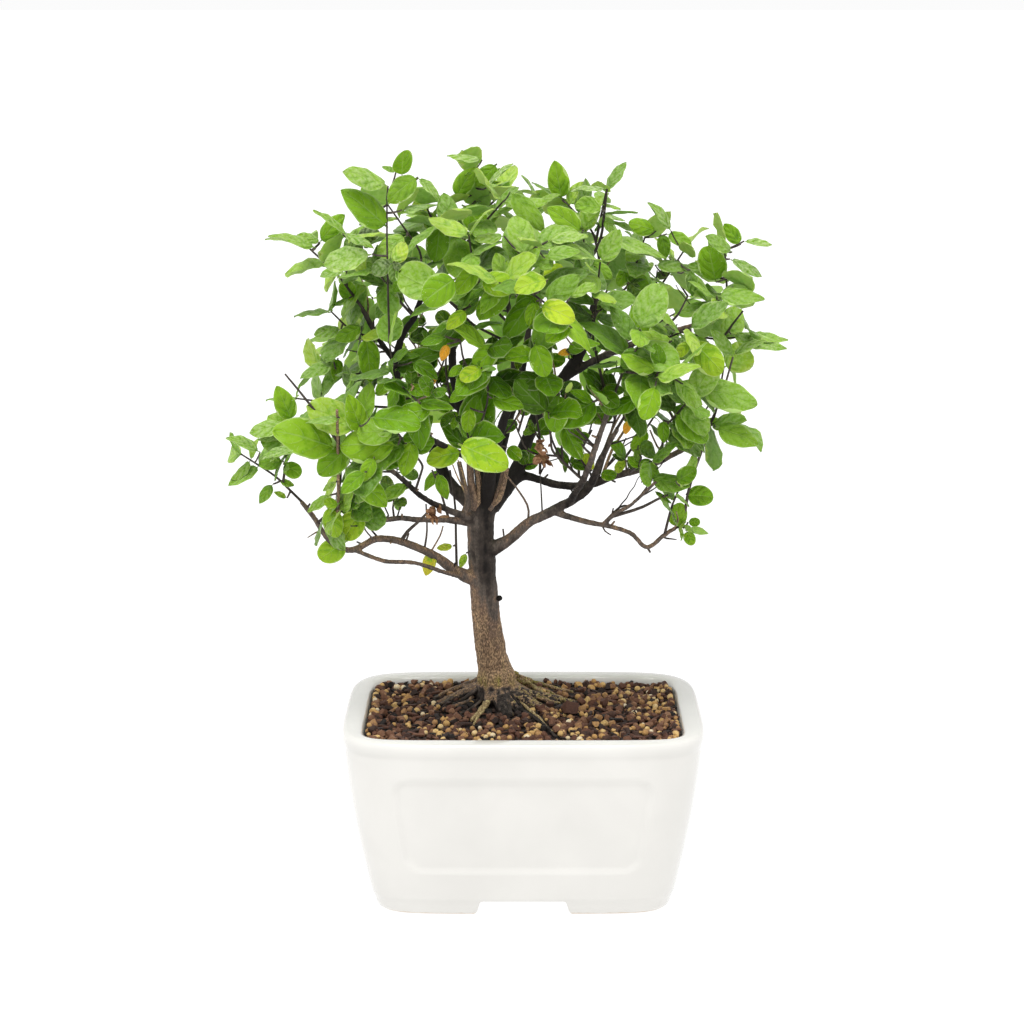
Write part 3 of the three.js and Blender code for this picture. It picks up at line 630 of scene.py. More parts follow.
# ---- wood ----
# Woody parts as [x, y, z, radius] along their middles, in millimetres from the middle of the pot's foot.
trunk = [
    [-10, 18, 66, 8.5],
    [-10, 18, 75, 10.2],
    [-11, 18, 80, 8.8],
    [-12, 18, 87, 7.7],
    [-14, 17, 98, 6.4],
    [-16, 16, 115, 5.9],
    [-17, 15, 132, 5.6],
    [-18, 14, 148, 5.7],
    [-17, 14, 163, 6.1],
    [-16, 15, 168, 4.2],
]
limbs = {
    "low_left": [
        [-19, 14, 128, 3.4], [-28, 10, 133, 2.5], [-39, 5, 142, 1.8], [-51, 0, 148, 1.6], [-61, -4, 150, 1.5],
        [-71, -8, 146, 1.4], [-80, -11, 151, 1.2], [-86, -13, 161, 1.1], [-91, -14, 168, 1],
    ],
    "low_left_loop": [
        [-26, 9, 131, 1.2], [-35, -2, 136, 1], [-44, -6, 140, 0.95], [-58, -9, 142, 0.95], [-69, -8, 146, 1],
    ],
    "mid_left": [
        [-19, 14, 153, 2.4], [-31, 6, 156, 1.45], [-43, -3, 158, 1.25], [-52, -10, 160, 1.2],
        [-64, -18, 160, 1.1],
    ],
    "mid_left_up": [
        [-20, 12, 155, 2], [-30, 0, 161, 1.4], [-41, -12, 169, 1.2], [-50, -24, 180, 1.1],
        [-58, -36, 188, 0.9],
    ],
    "left_leader": [
        [-18, 15, 158, 3.8], [-31, 20, 169, 2.6], [-41, 22, 189, 2.1], [-51, 20, 204, 1.8],
        [-53, 16, 219, 1.7], [-51, 12, 231, 1.5], [-45, 8, 241, 1.3], [-41, 4, 252, 1.1],
    ],
    "left_upper": [[-53, 16, 221, 1.4], [-60, 11, 232, 1.2], [-66, 5, 245, 1]],
    "low_right": [
        [-15, 13, 141, 3.6], [-6, 8, 147, 2.4], [2, 4, 155, 2.1], [12, 0, 161, 2.1], [20, -3, 166, 2],
        [27, -6, 172, 1.8], [31, -12, 183, 1.5], [34, -18, 191, 1.2], [38, -24, 200, 1],
    ],
    "low_right_drop": [
        [12, 0, 161, 1.6], [25, -6, 158, 1.25], [33, -9, 157, 1.1], [44, -11, 154, 1], [51, -11, 148, 1],
        [58, -11, 153, 1], [63, -10, 156, 0.9],
    ],
    "low_right_fork": [[33, -9, 157, 1.1], [38, -14, 163, 0.9], [45, -18, 168, 0.8], [54, -22, 178, 0.7]],
    "mid_right": [
        [-8, 17, 168, 2.8], [0, 20, 172, 2], [7, 22, 170, 1.7], [16, 20, 168, 1.7], [27, 16, 169, 1.8],
        [39, 10, 174, 1.6], [49, 4, 178, 1.5], [57, -4, 183, 1.3], [69, -12, 191, 1.1],
    ],
    "right_leader": [
        [-14, 15, 160, 4.6], [-3, 20, 174, 3.2], [1, 24, 185, 2.8], [7, 26, 199, 2.7], [17, 26, 213, 2.6],
        [24, 24, 224, 2.2], [28, 20, 236, 1.8], [30, 16, 249, 1.5], [32, 12, 261, 1.2],
    ],
    "right_upper": [
        [17, 26, 213, 1.9], [32, 22, 222, 1.6], [48, 14, 230, 1.3], [64, 6, 236, 1.1], [76, 0, 241, 1],
    ],
    "crown": [
        [-16, 16, 160, 4], [-19, 26, 180, 2.7], [-26, 32, 198, 2.2], [-30, 34, 217, 1.8], [-28, 32, 237, 1.5],
        [-22, 28, 256, 1.2], [-20, 24, 271, 1],
    ],
    "back": [
        [-15, 17, 160, 3.6], [-10, 34, 179, 2.4], [-5, 48, 196, 2], [0, 56, 214, 1.6], [3, 58, 236, 1.3],
        [2, 54, 256, 1],
    ],
    "back_left": [[-26, 32, 198, 1.6], [-42, 46, 208, 1.2], [-58, 56, 220, 0.9]],
    "back_right": [[-5, 48, 196, 1.6], [12, 58, 206, 1.3], [32, 63, 216, 1.1], [48, 60, 226, 0.9]],
    "front": [
        [-16, 13, 160, 3.6], [-13, -4, 181, 2.3], [-9, -18, 198, 1.9], [-4, -30, 217, 1.6],
        [-4, -38, 236, 1.3], [-6, -42, 254, 1],
    ],
    "front_left": [[-13, -4, 181, 1.7], [-28, -20, 190, 1.4], [-44, -36, 203, 1.1], [-50, -42, 218, 0.9]],
    "front_right": [[19, -3, 165, 1.6], [25, -22, 180, 1.4], [30, -38, 198, 1.2], [36, -48, 218, 1]],
}
roots = [
    [[-9, 18, 80, 4], [2, 17, 77, 2.6], [12, 19, 75, 1.7], [23, 20, 72.5, 1.1]],
    [[-8, 15, 79, 4], [2, 10, 76, 2.4], [12, 5, 73, 1.2]],
    [[-9, 14, 78, 3], [-2, 2, 75.4, 1.1], [5, -10, 74.6, 0.8], [10, -22, 74, 0.7], [14, -33, 72.4, 0.7]],
    [[-13, 14, 79, 3.2], [-16, 4, 75.6, 1.1], [-19, -8, 74.3, 0.8], [-22, -19, 71.8, 0.6]],
    [[-15, 20, 79, 4], [-27, 20, 76, 2.3], [-39, 14, 73, 1.1]],
    [[-10, 13, 79, 4.4], [-9, 3, 76, 2.6], [-6, -6, 73, 1.2]],
    [[-14, 22, 79, 4], [-23, 33, 75.6, 2.2], [-30, 41, 73, 1.1]],
    [[-8, 22, 79, 4], [-4, 34, 75.6, 2.2], [3, 42, 73, 1.1]],
]
wood = {
    "voxel": 0.55,
    "step": 2.2,  # spacing of the points along a limb
    "knottiness": 0.09,  # how much a limb's radius varies
    "wander": 0.28,
    "knot": (-10.1, 13.5, 120.4),  # a black bud scar on the trunk's right
}


class WoodCurve:
    # A smooth line through woody points, with its radius interpolated between them.
    def __init__(self, points):
        self.places = [Vector(point[:3]) for point in points]
        self.radii = [point[3] for point in points]

    def at(self, t):
        last = len(self.places) - 1
        place = t * last
        first = min(int(place), last - 1)
        w = place - first
        b, c = self.places[first], self.places[first + 1]
        a = self.places[first - 1] if first > 0 else b * 2 - c
        d = self.places[first + 2] if first + 2 <= last else c * 2 - b
        start, end = (c - a) * 0.5, (d - b) * 0.5
        return (
            b + start * w + (b * -3 + c * 3 - start * 2 - end) * w**2 + (b * 2 - c * 2 + start + end) * w**3
        )

    def radiusAt(self, t):
        place = t * (len(self.radii) - 1)
        first = min(int(place), len(self.radii) - 2)
        return self.radii[first] + (self.radii[first + 1] - self.radii[first]) * (place - first)

    def length(self):
        return polylineLength([self.at(i / 60) for i in range(61)])


class StemCurve:
    # A stem that leaves its limb in one direction and bends to its tip.
    def __init__(self, start, bend, tip):
        self.start, self.bend, self.tip = start, bend, tip

    def at(self, t):
        return self.start * (1 - t) ** 2 + self.bend * (2 * t * (1 - t)) + self.tip * t**2

    def length(self):
        return polylineLength([self.at(i / 200) for i in range(201)])


def polylineLength(places):
    return sum((b - a).length for a, b in zip(places, places[1:]))


def directionAt(curve, t):
    return (curve.at(min(t + 0.01, 1)) - curve.at(max(t - 0.01, 0))).normalized()


def rodPoint(curve, t, steps):
    place = t * steps
    first = min(int(place), steps - 1)
    return curve.at(first / steps).lerp(curve.at((first + 1) / steps), place - first)


def tubeAlong(places, radii, sides):  # a closed tube through points in millimetres
    curve = bpy.data.curves.new("tube", "CURVE")
    curve.dimensions = "3D"
    curve.bevel_depth = mm
    curve.bevel_resolution = max(sides // 2 - 2, 0)
    curve.use_fill_caps = True
    curve.twist_mode = "MINIMUM"
    spline = curve.splines.new("POLY")
    spline.points.add(len(places) - 1)
    for point, place, radius in zip(spline.points, places, radii):
        point.co = (*fromPot(*place), 1)
        point.radius = radius
    tube = bpy.data.objects.new("tube", curve)
    bpy.context.collection.objects.link(tube)
    makeActive(tube)
    bpy.ops.object.convert(target="MESH")
    return bpy.context.object


def barkTube(places, radii, sides, tone):
    tube = tubeAlong(places, radii, sides)
    setTone(tube, "barkTone", tone)
    coat(tube, bark)
    return tube


def woodTube(points, seed, sides=12):
    curve = WoodCurve(points)
    count = max(int(curve.length() / wood["step"]), 4)
    places, radii = [], []
    for i in range(count + 1):
        t = i / count
        spot = Vector((seed * 7.3, i * 0.35, 1.7))
        places.append(curve.at(t) + noise.noise_vector(spot) * wood["wander"] * min(t * 4, 1))
        radii.append(curve.radiusAt(t) * (1 + wood["knottiness"] * noise.noise(spot * 2.1)))
    return tubeAlong(places, radii, sides)


def barkToneAt(place, normal):  # tan low on the trunk, mossy black and olive on the roots, with painted light and shade: lighter on upward faces and on the trunk's left, a painted shaded streak just right of its middle, and darker in the crown
    low = 1 - clamp((place.z - 80) / 58)
    axis = WoodCurve(trunk).at(clamp((place.z - 66) / 102))
    fromAxis = math.hypot(place.x - axis.x, place.y - axis.y)
    onTrunk = 1 - clamp((fromAxis - 8) / 5)
    inCrown = clamp((place.z - 156) / 16) * (1 - clamp((fromAxis - 35) / 30))
    mottle = noise.noise(place * 0.3) * 0.1 + noise.noise(place * 0.9) * 0.08
    wander = noise.noise(Vector((0, 0, place.z * 0.06))) * 2
    # A darker streak just right of the trunk's axis: painted shade on the trunk's shaded side.
    shadedStreak = math.exp(-(((place.x - axis.x - 1.2 - wander) / 2.8) ** 2)) * clamp((place.z - 92) / 30)
    leftwards = clamp((axis.x - place.x) / 6, -0.4)
    # Painted light and shade: upward faces are lighter, and the wood deep in the crown is darker where it lies
    # in shade.
    tone = 0.42 + 0.15 * normal.z + mottle - 0.5 * inCrown
    tone += 0.08 * onTrunk * math.exp(-(((place.z - 85) / 5) ** 2))
    # Painted light and shade on the trunk: lighter on its left, darker along the painted shaded streak.
    tone += onTrunk * (0.02 + 0.38 * low**1.1 + 0.12 * leftwards * (1 - 0.5 * low) - 0.15 * shadedStreak)
    tone -= 0.16 * onTrunk * clamp((place.z - 112) / 20)
    tone = min(tone, 0.68 + 0.15 * math.exp(-(((place.z - 84) / 4) ** 2)))
    collar = 82 + 2.5 * noise.noise(place * 0.4)
    if place.z < collar:
        paleRoot = place.y < 6 and abs(place.x + 17 + (place.y - 6) * -0.15) < 4.5
        mossy = clamp((place.x + 7 + 5 * noise.noise(place * 0.5)) / 5) * (place.y > 2)
        wet = noise.noise(place * 0.7) + 0.5 * noise.noise(place * 1.8)
        # Painted light: the upward faces of the left roots are paler, in patches.
        litRootTops = 0.42 * (place.x < -11 and normal.z > 0.35 and wet > -0.5)
        below = 1.15 if paleRoot else max(0.76 * mossy * (wet > -0.05), litRootTops) + 0.13
        earthy = noise.noise(place * 0.6) * 0.2 + noise.noise(place * 1.9) * 0.35
        depth = collar - place.z
        tone = 0.78 + (below - 0.78) * min(depth / 1.6, 1) + earthy * min(depth / 3, 1)
    return tone


def buildTree():
    tubes = [woodTube(trunk, 1, 32)]
    tubes += [woodTube(points, i + 2) for i, points in enumerate(limbs.values())]
    tubes += [woodTube(points, i + 40) for i, points in enumerate(roots)]
    tree = joinPieces(tubes, "tree_wood")
    applyModifier(tree, "REMESH", mode="VOXEL", voxel_size=wood["voxel"] * mm, use_smooth_shade=True)
    applyModifier(tree, "SMOOTH", factor=0.5, iterations=2)
    places = pointsOf(tree)
    tones = np.empty(len(places), np.float32)
    for i, vertex in enumerate(tree.data.vertices):
        place = toPot(vertex.co)
        rough = noise.noise(place * 0.55) * 0.22
        rough += noise.noise(Vector((place.x, place.y, place.z * 0.4)) * 1.3) * 0.14
        places[i] = vertex.co + vertex.normal * rough * mm * (1.0 if place.z < 130 else 0.6)
        tones[i] = barkToneAt(place, vertex.normal)
    setPoints(tree, places)
    setTone(tree, "barkTone", tones)
    coat(tree, bark)
    size = {"subdivisions": 2, "radius": 1.3 * mm, "location": fromPot(*wood["knot"])}
    knot = startPiece(bpy.ops.mesh.primitive_ico_sphere_add, "bud_scar", **size)
    bpy.ops.object.transform_apply(location=True, rotation=True, scale=True)
    lumpy = [place + noise.noise_vector(place / mm) * 0.4 * mm for place in map(Vector, pointsOf(knot))]
    setPoints(knot, lumpy)
    setTone(knot, "barkTone", 0.02)
    coat(knot, bark)
    finishPiece(joinPieces([tree, knot], "tree_wood"), "bark", "tree")
    print("tree made", len(bpy.context.object.data.polygons))


buildTree()

# ---- soil ----
soilSize = {
    "level": 73.4,
    "mound": 2.4,
    "moundRadius": 38,
    "bank": 2.3,  # how much higher it lies against the ends and the back than in the middle
    "bankWidth": 13,
    "clearance": 0.3,
    "grid": 3.0,
    "darkSpacing": 2.7,
    "claySpacing": 4.0,
    "seed": 11,
    "coverDepth": 0.4,  # how far the bed lies under the grains' own level
    "lumpHeight": 1.1,
    "fineLumpHeight": 0.5,
    "bareRadius": 9.6,  # round the trunk
    "darkeningRadius": 34,
    "clayRadius": 36,
}


def soilHeight(x, y):
    fromTrunk = math.hypot(x - trunk[1][0], y - trunk[1][1])
    mound = soilSize["mound"] * math.exp(-((fromTrunk / soilSize["moundRadius"]) ** 2))
    lumps = noise.noise(Vector((x, y, 0)) * 0.07) * soilSize["lumpHeight"]
    lumps += noise.noise(Vector((x, y, 5)) * 0.21) * soilSize["fineLumpHeight"]
    halfX, halfY = halfSpan(potSize["rimWidth"])
    toEnd = clamp((abs(x) - halfX) / soilSize["bankWidth"] + 1)
    toBack = clamp((y - halfY) / soilSize["bankWidth"] + 1)
    bank = soilSize["bank"] * (toEnd**1.5 + 0.5 * toBack**1.5)
    return soilSize["level"] - 1.1 + mound + lumps + min(bank, soilSize["bank"])


def innerReach(a, b):  # 1 on the pot's inner wall and less inside it, from shares of half its size
    n = potSize["innerRoundness"]
    return (abs(a) ** n + abs(b) ** n) ** (1 / n)


def buildSoilBed():
    rim = potSize["rimWidth"] + soilSize["clearance"]
    topSpan = halfSpan(potInset(soilSize["level"]) + rim)
    floorSpan = halfSpan(potInset(potSize["floorTop"]) + rim + 3)
    columns, rows = (int(2 * half / soilSize["grid"]) for half in topSpan)
    size = {"x_subdivisions": columns, "y_subdivisions": rows, "size": 2}
    bed = startPiece(bpy.ops.mesh.primitive_grid_add, "soil_bed", **size)
    places = extrudeUp(bed)
    for i, (a, b, top) in enumerate(places):
        below = top < 0.5
        halfX, halfY = floorSpan if below else topSpan
        inwards = max(abs(a), abs(b)) / max(innerReach(a, b), 1e-6)
        x, y = a * halfX * inwards, b * halfY * inwards
        floor = potSize["floorTop"] + 2 * drain["clearance"] + 1
        z = floor if below else soilHeight(x, y) - soilSize["coverDepth"]
        places[i] = fromPot(x, y, z)
    setPoints(bed, places)
    pointOutwards(bed)
    setTone(bed, "grainTone", 0.04)
    coat(bed, grit)
    finishPiece(bed, "soil", "soil")


grainKinds = {  # how it stretches, how lumpy it is, how coarse the lumps are, and a shift that sets it apart
    "lava": ((1, 0.84, 0.7), 0.5, 1.9, 3),
    "clay": ((1, 0.92, 0.86), 0.16, 1.6, 0),
    "splinter": ((1.9, 0.6, 0.36), 0.35, 2.4, 6),
}


def grainShape(kind, seed):  # one loose grain, about a millimetre across
    stretch, lumps, coarseness, shift = grainKinds[kind]
    if kind == "clay":
        size = {"segments": 8, "ring_count": 6, "radius": 0.5}
        grain = startPiece(bpy.ops.mesh.primitive_uv_sphere_add, kind, **size)
        shape = pointsOf(grain)
    else:
        grain = startPiece(bpy.ops.mesh.primitive_cube_add, kind, size=0.84)
        applyModifier(grain, "SUBSURF", levels=1, subdivision_type="SIMPLE")
        shape = pointsOf(grain)
        shape = shape * 0.45 + shape / np.linalg.norm(shape, axis=1)[:, None] * 0.29
    for i, spot in enumerate(map(Vector, shape)):
        swell = 1 + lumps * noise.noise(spot * coarseness + Vector((seed * 9, shift, 0)))
        if kind == "lava":
            swell += 0.2 * noise.noise(spot * 4.5)
        shape[i] = spot * swell
    setPoints(grain, shape * np.array(stretch))
    return grain


def scatterGrains(name, spots, shapes):  # every spot: kind index, place, turn, size, tone
    grains = []
    for kind, place, turn, size, tone in spots:
        grain = copyOf(shapes[kind])
        move = Matrix.Translation(fromPot(*place)) @ turn.to_matrix().to_4x4() @ Matrix.Scale(size * mm, 4)
        grain.data.transform(move)
        setTone(grain, "grainTone", tone)
        grains.append(grain)
    piece = joinPieces(grains, name)
    coat(piece, grit)
    finishPiece(piece, "soil", angle=50)


# Roots that run out over the grit: radius at foot and tip, bark tone, then places in the view from the trunk
surfaceRoots = [
    [1.8, 0.7, 0.8, (514, 679), (524, 683), (537, 688), (553, 694), (566, 701)],
    [1.8, 0.6, 0.84, (517, 677), (530, 681), (548, 686), (573, 692)],
    [1.7, 0.6, 0.7, (513, 682), (526, 690), (540, 698), (556, 703)],
    [1.2, 0.5, 0.86, (530, 684), (541, 692), (549, 701), (560, 703)],
    [1.9, 0.6, 0.5, (485, 678), (474, 682), (460, 687), (446, 692), (434, 698)],
    [1.7, 0.6, 0.3, (483, 682), (470, 689), (456, 696), (445, 702), (434, 706)],
    [1.5, 0.6, 0.45, (486, 686), (476, 694), (466, 702), (450, 706)],
    [1.1, 0.4, 0.3, (490, 690), (483, 700), (470, 709), (460, 713)],
    [0.95, 0.7, 1.2, (488, 688), (487, 696), (484, 704), (478, 712), (472, 720)],
    [0.8, 0.5, 1.25, (517, 700), (525, 706), (533, 713), (541, 720), (552, 732)],
    [0.7, 0.4, 1.15, (493, 694), (496, 700), (498, 706)],
    [1.9, 1.1, 0.15, (497, 684), (498, 694), (499, 703), (502, 712)],
    [2.1, 1.1, 0.22, (504, 684), (506, 693), (508, 703), (510, 715)],
    [1.8, 0.9, 0.12, (510, 684), (514, 692), (517, 701), (521, 708)],
]


def onSoil(x, y, above):  # where a place in the view lies on the grit
    ray = rayTo(x, y)
    nearEdge = 900
    for step in range(400):
        place = eye + ray * (nearEdge + step * 0.5)
        if place.z < soilHeight(place.x, place.y) + above:
            return place
    return place


def rootLine(index):  # places and radii along a root on the grit
    footRadius, tipRadius, _, *spots = surfaceRoots[index]
    places = [onSoil(x, y, 1.9 - 0.25 * i) for i, (x, y) in enumerate(spots)]
    inwards = (Vector((-11, 18, 0)) - places[0]) * Vector((1, 1, 0))
    places.insert(0, places[0] + inwards.normalized() * 4 + Vector((0, 0, 2.2)))
    path = WoodCurve([(*place, 1) for place in places])
    count = max(int(path.length() / 1.6), 5)
    line, radii = [], []
    for j, radius in enumerate(taper(footRadius, tipRadius, count)):
        line.append(path.at(j / count) + noise.noise_vector(Vector((index * 5.3, j * 0.5, 9.1))) * 0.5)
        radii.append(radius * (1 + 0.3 * noise.noise(Vector((index, j * 0.7, 2)))))
    return line, radii


rootLines = [rootLine(index) for index in range(len(surfaceRoots))]


fineRoots = {"seed": 4, "count": 18, "fromTrunk": 6, "height": 80, "radius": 1.3, "sway": 0.6, "step": 3.4}


def buildRoots():
    pieces = [barkTube(*rootLines[i], 8, entry[2]) for i, entry in enumerate(surfaceRoots)]
    draw = random.Random(fineRoots["seed"])
    collar = Vector((*trunk[2][:2], fineRoots["height"]))
    for i in range(fineRoots["count"]):
        turn = draw.uniform(0, math.tau)
        heading = Vector((math.cos(turn), math.sin(turn), 0))
        places, widths = [collar + heading * fineRoots["fromTrunk"]], [fineRoots["radius"]]
        steps = draw.randint(5, 9)
        for j in range(steps):
            kink = noise.noise_vector(Vector((i * 5.3, j * 0.8, 9.1)))
            heading = (heading + Vector((kink.x, kink.y, 0)) * fineRoots["sway"]).normalized()
            x, y = (places[-1] + heading * fineRoots["step"]).xy
            places.append(Vector((x, y, max(soilHeight(x, y) + 0.9 - 0.25 * j, 79 - j * 2.2))))
            widths.append(1.0 - 0.75 * (j + 1) / steps)
        pieces.append(barkTube(places, widths, 6, draw.choice([0.1, 0.2, 0.3, 0.8])))
    net = joinPieces(pieces, "surface_roots")
    for vertex, tone in zip(net.data.vertices, net.data.attributes["barkTone"].data):
        mottle = 0.15 if tone.value > 1 else 0.42  # the palest roots are evenly pale
        tone.value += mottle * noise.noise(toPot(vertex.co) * 0.9)
    finishPiece(net, "bark")


def buildGrains():
    draw = random.Random(soilSize["seed"])
    inset = potInset(soilSize["level"]) + potSize["rimWidth"] + soilSize["clearance"]
    halfX, halfY = halfSpan(inset)
    kinds = ["lava"] * 4 + ["clay"] * 3 + ["splinter"] * 2
    shapes = [grainShape(kind, i - kinds.index(kind)) for i, kind in enumerate(kinds)]
    rootPlaces = [(WoodCurve(points).at(i / 12), 1) for points in roots for i in range(13)]
    rootPlaces += [(place, radius) for line in rootLines for place, radius in zip(*line)]

    def addSpots(spacing, choices, sizes, toneOf, isClay):
        spots = []
        for i in range(int(2 * halfX / spacing) + 1):
            for j in range(int(2 * halfY / spacing) + 1):
                x = -halfX + (i + 0.5 * (j % 2) + draw.uniform(-0.4, 0.4)) * spacing
                y = -halfY + (j + draw.uniform(-0.4, 0.4)) * spacing
                size = draw.uniform(sizes[0], sizes[1] ** 0.5) * draw.uniform(1, sizes[1] ** 0.5)
                wallX, wallY = halfSpan(inset + size / 2 + 0.1)
                reach = max(innerReach(x / wallX, y / wallY), 1)
                x, y = x / reach, y / reach
                fromTrunk = math.hypot(x - trunk[2][0], y - trunk[2][1])
                if fromTrunk < soilSize["bareRadius"]:
                    continue
                spare = min(math.hypot(x - p.x, y - p.y) - radius for p, radius in rootPlaces)
                if spare < 0.3 * size + 0.4 * isClay:
                    continue
                drift = noise.noise(Vector((x, y, 3)) * 0.045) + noise.noise(Vector((x, y, 8)) * 0.13) * 0.5
                clayFrom = soilSize["clayRadius"]
                if isClay and (fromTrunk < clayFrom * draw.random() or draw.random() > 0.45 + drift):
                    continue
                turn = Quaternion([draw.gauss(0, 1) for _ in range(4)]).normalized()
                z = soilHeight(x, y) + size * draw.uniform(0.0, 0.3) + 0.7 * isClay
                kind = draw.choice(choices)
                tone = 1
                if kinds[kind] == "splinter":  # it lies nearly flat, and is small and dark
                    tilt = (draw.uniform(-0.3, 0.3), draw.uniform(-0.3, 0.3), draw.uniform(0, math.tau))
                    turn = Euler(tilt).to_quaternion()
                    size *= 0.75
                    tone = 0.6
                spots.append((kind, (x, y, z), turn, size, tone * toneOf(fromTrunk)))
        return spots

    def darkTone(fromTrunk):
        # Darker towards the trunk.
        nearTrunk = 1 - min(fromTrunk / soilSize["darkeningRadius"], 1)
        return clamp(draw.gauss(0.4 - 0.26 * nearTrunk, 0.2), 0, 0.8)

    def clayTone(fromTrunk):
        return clamp(draw.gauss(0.74, 0.12), 0.45, 0.94)

    dark = addSpots(soilSize["darkSpacing"], [0, 1, 2, 3, 7, 8, 8], (1.9, 4.6), darkTone, False)
    clay = addSpots(soilSize["claySpacing"], [4, 5, 6], (1.6, 3.4), clayTone, True)
    lumpTurn = Quaternion((0.8, 0.5, 0.2, 0.1)).normalized()
    dark.append((2, (20, -2, 76.4), lumpTurn, 8.0, 0.3))  # one big lump of lava
    scatterGrains("dark_grains", dark, shapes)
    scatterGrains("clay_grains", clay, shapes)
    for shape in shapes:
        bpy.data.objects.remove(shape)
    print("grains", len(dark), len(clay))


buildSoilBed()
buildRoots()
buildGrains()
print("soil made")

# ---- leafy shoots ----
# [limb, how far along it, leaf pairs on each stem, leaf length, tip of each stem ...]
shoots = [
    ["low_left", 1, 2, 14, [-115, -16, 188], [-94, -24, 199]],
    ["low_left", 0.76, 2, 24, [-74, -32, 208]],
    ["low_left", 0.84, 2, 17, [-73, -30, 167]],
    ["mid_left_up", 1, 2, 22, [-65, -48, 205]],
    ["mid_left_up", 0.6, 2, 18, [-50, -56, 205]],
    ["mid_left", 1, 2, 17, [-68, -31, 178]],
    ["left_leader", 0.45, 1, 19, [-70, -14, 213]],
    ["left_leader", 0.5, 3, 19, [-84, 8, 220]],
    ["left_leader", 0.4, 2, 18, [-96, 22, 205]],
    ["left_upper", 0.5, 2, 19, [-79, 4, 244]],
    ["left_upper", 1, 2, 20, [-89, 0, 272], [-70, -14, 276]],
    ["left_leader", 1, 3, 21, [-55, 0, 288]],
    ["left_leader", 0.86, 2, 18, [-59, -24, 265]],
    ["crown", 0.86, 2, 20, [-40, 10, 287]],
    ["crown", 1, 2, 20, [-21, 20, 300], [-8, 28, 291]],
    ["crown", 0.92, 2, 21, [-31, -12, 282], [-8, -10, 290]],
    ["back", 1, 2, 20, [4, 40, 285]],
    ["right_leader", 1, 2, 17, [15, 22, 290], [34, 8, 293]],
    ["right_leader", 0.9, 2, 19, [24, -18, 279]],
    ["right_leader", 0.8, 2, 18, [50, 8, 274]],
    ["right_upper", 0.5, 2, 18, [66, 10, 268]],
    ["right_upper", 1, 2, 18, [82, -2, 270], [78, -16, 251]],
    ["right_upper", 0.75, 2, 21, [94, 2, 234]],
    ["mid_right", 1, 2, 19, [82, -8, 223], [85, -10, 201]],
    ["mid_right", 0.88, 2, 20, [67, -34, 214]],
    ["low_right_drop", 1, 1, 9, [69, -8, 155]],
    ["low_right_drop", 0.85, 2, 13, [65, -20, 178]],
    ["mid_right", 0.7, 1, 16, [52, -22, 186]],
    ["mid_right", 0.55, 2, 20, [57, -20, 231]],
    ["low_right", 1, 2, 19, [46, -48, 217], [29, -52, 216]],
    ["front_right", 1, 2, 21, [45, -62, 245], [58, -58, 226]],
    ["front", 1, 2, 20, [13, -72, 253], [-9, -72, 264]],
    ["front", 0.8, 2, 20, [-32, -66, 260]],
    ["front_right", 0.6, 2, 18, [6, -68, 237]],
    ["front", 0.55, 2, 19, [-14, -66, 238]],
    ["front_left", 0.3, 2, 22, [-21, -58, 201]],
    ["front_left", 1, 2, 19, [-40, -66, 217], [-52, -52, 238]],
    ["front_right", 0.3, 2, 19, [10, -58, 212]],
    ["front_right", 0.9, 2, 19, [30, -48, 270]],
    ["right_upper", 0.3, 2, 20, [66, -38, 242]],
    ["front", 0.9, 2, 20, [-21, -48, 280], [5, -52, 276]],
    ["back_left", 1, 2, 19, [-80, 62, 226], [-66, 72, 242]],
    ["back_left", 0.6, 1, 18, [-52, 74, 206]],
    ["back_right", 1, 2, 19, [66, 62, 236], [54, 74, 248]],
    ["back_right", 0.6, 2, 19, [30, 88, 214]],
    ["back_right", 0.3, 1, 18, [20, 70, 186]],
    ["back", 0.8, 2, 20, [-14, 86, 252], [18, 84, 258]],
    ["back", 0.6, 2, 19, [-10, 92, 222]],
    ["back", 0.4, 1, 18, [-30, 76, 190]],
    ["crown", 0.7, 2, 20, [-56, 52, 256]],
    ["crown", 0.8, 2, 20, [-36, 62, 276]],
    ["right_leader", 0.7, 2, 20, [42, 46, 262], [22, 54, 276]],
    ["right_upper", 0.6, 1, 18, [70, 40, 246]],
    ["mid_right", 0.6, 2, 18, [62, 36, 204]],
    ["left_leader", 0.34, 1, 18, [-72, 44, 194]],
]
stemSize = {
    "baseRadius": 0.9,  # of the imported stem, from which its foot is found
    "steps": 2,
    "lean": 59,
    "seat": 0.93,
    "fork": 0.35,
    "bend": 0.45,
    "clearance": 0.3,
    "shownBase": 0.62,
    "shownTip": 0.36,
    "flare": 1.35,
    "spacing": 2.2,
}
leafing = {
    "tipSetback": 0.6,
    "spacing": 0.56,
    "firstPlace": 0.12,
    "pairTurn": 1.3,
    "retryTurn": 0.4,
    "retries": 9,
    "lengthSpread": 0.15,
    "arch": 0.1,
    "dome": 0.05,
    "width": 0.62,
    "droopFrom": 0.65,
    "domeReach": 0.31,
    "solidHalf": 0.35,  # half the thickness of a packed leaf
    "canopyMiddle": Vector((-5, 15, 205)),
}
leafKinds = [  # outline powers at base and tip, width as a share of length, how much the margin waves
    {"base": 0.48, "tip": 0.7, "width": 0.57, "wave": 0.02, "seed": 1},
    {"base": 0.5, "tip": 0.58, "width": 0.64, "wave": 0.028, "seed": 2},
    {"base": 0.56, "tip": 0.84, "width": 0.47, "wave": 0.018, "seed": 3},
    {"base": 0.44, "tip": 0.48, "width": 0.78, "wave": 0.012, "seed": 4},
]
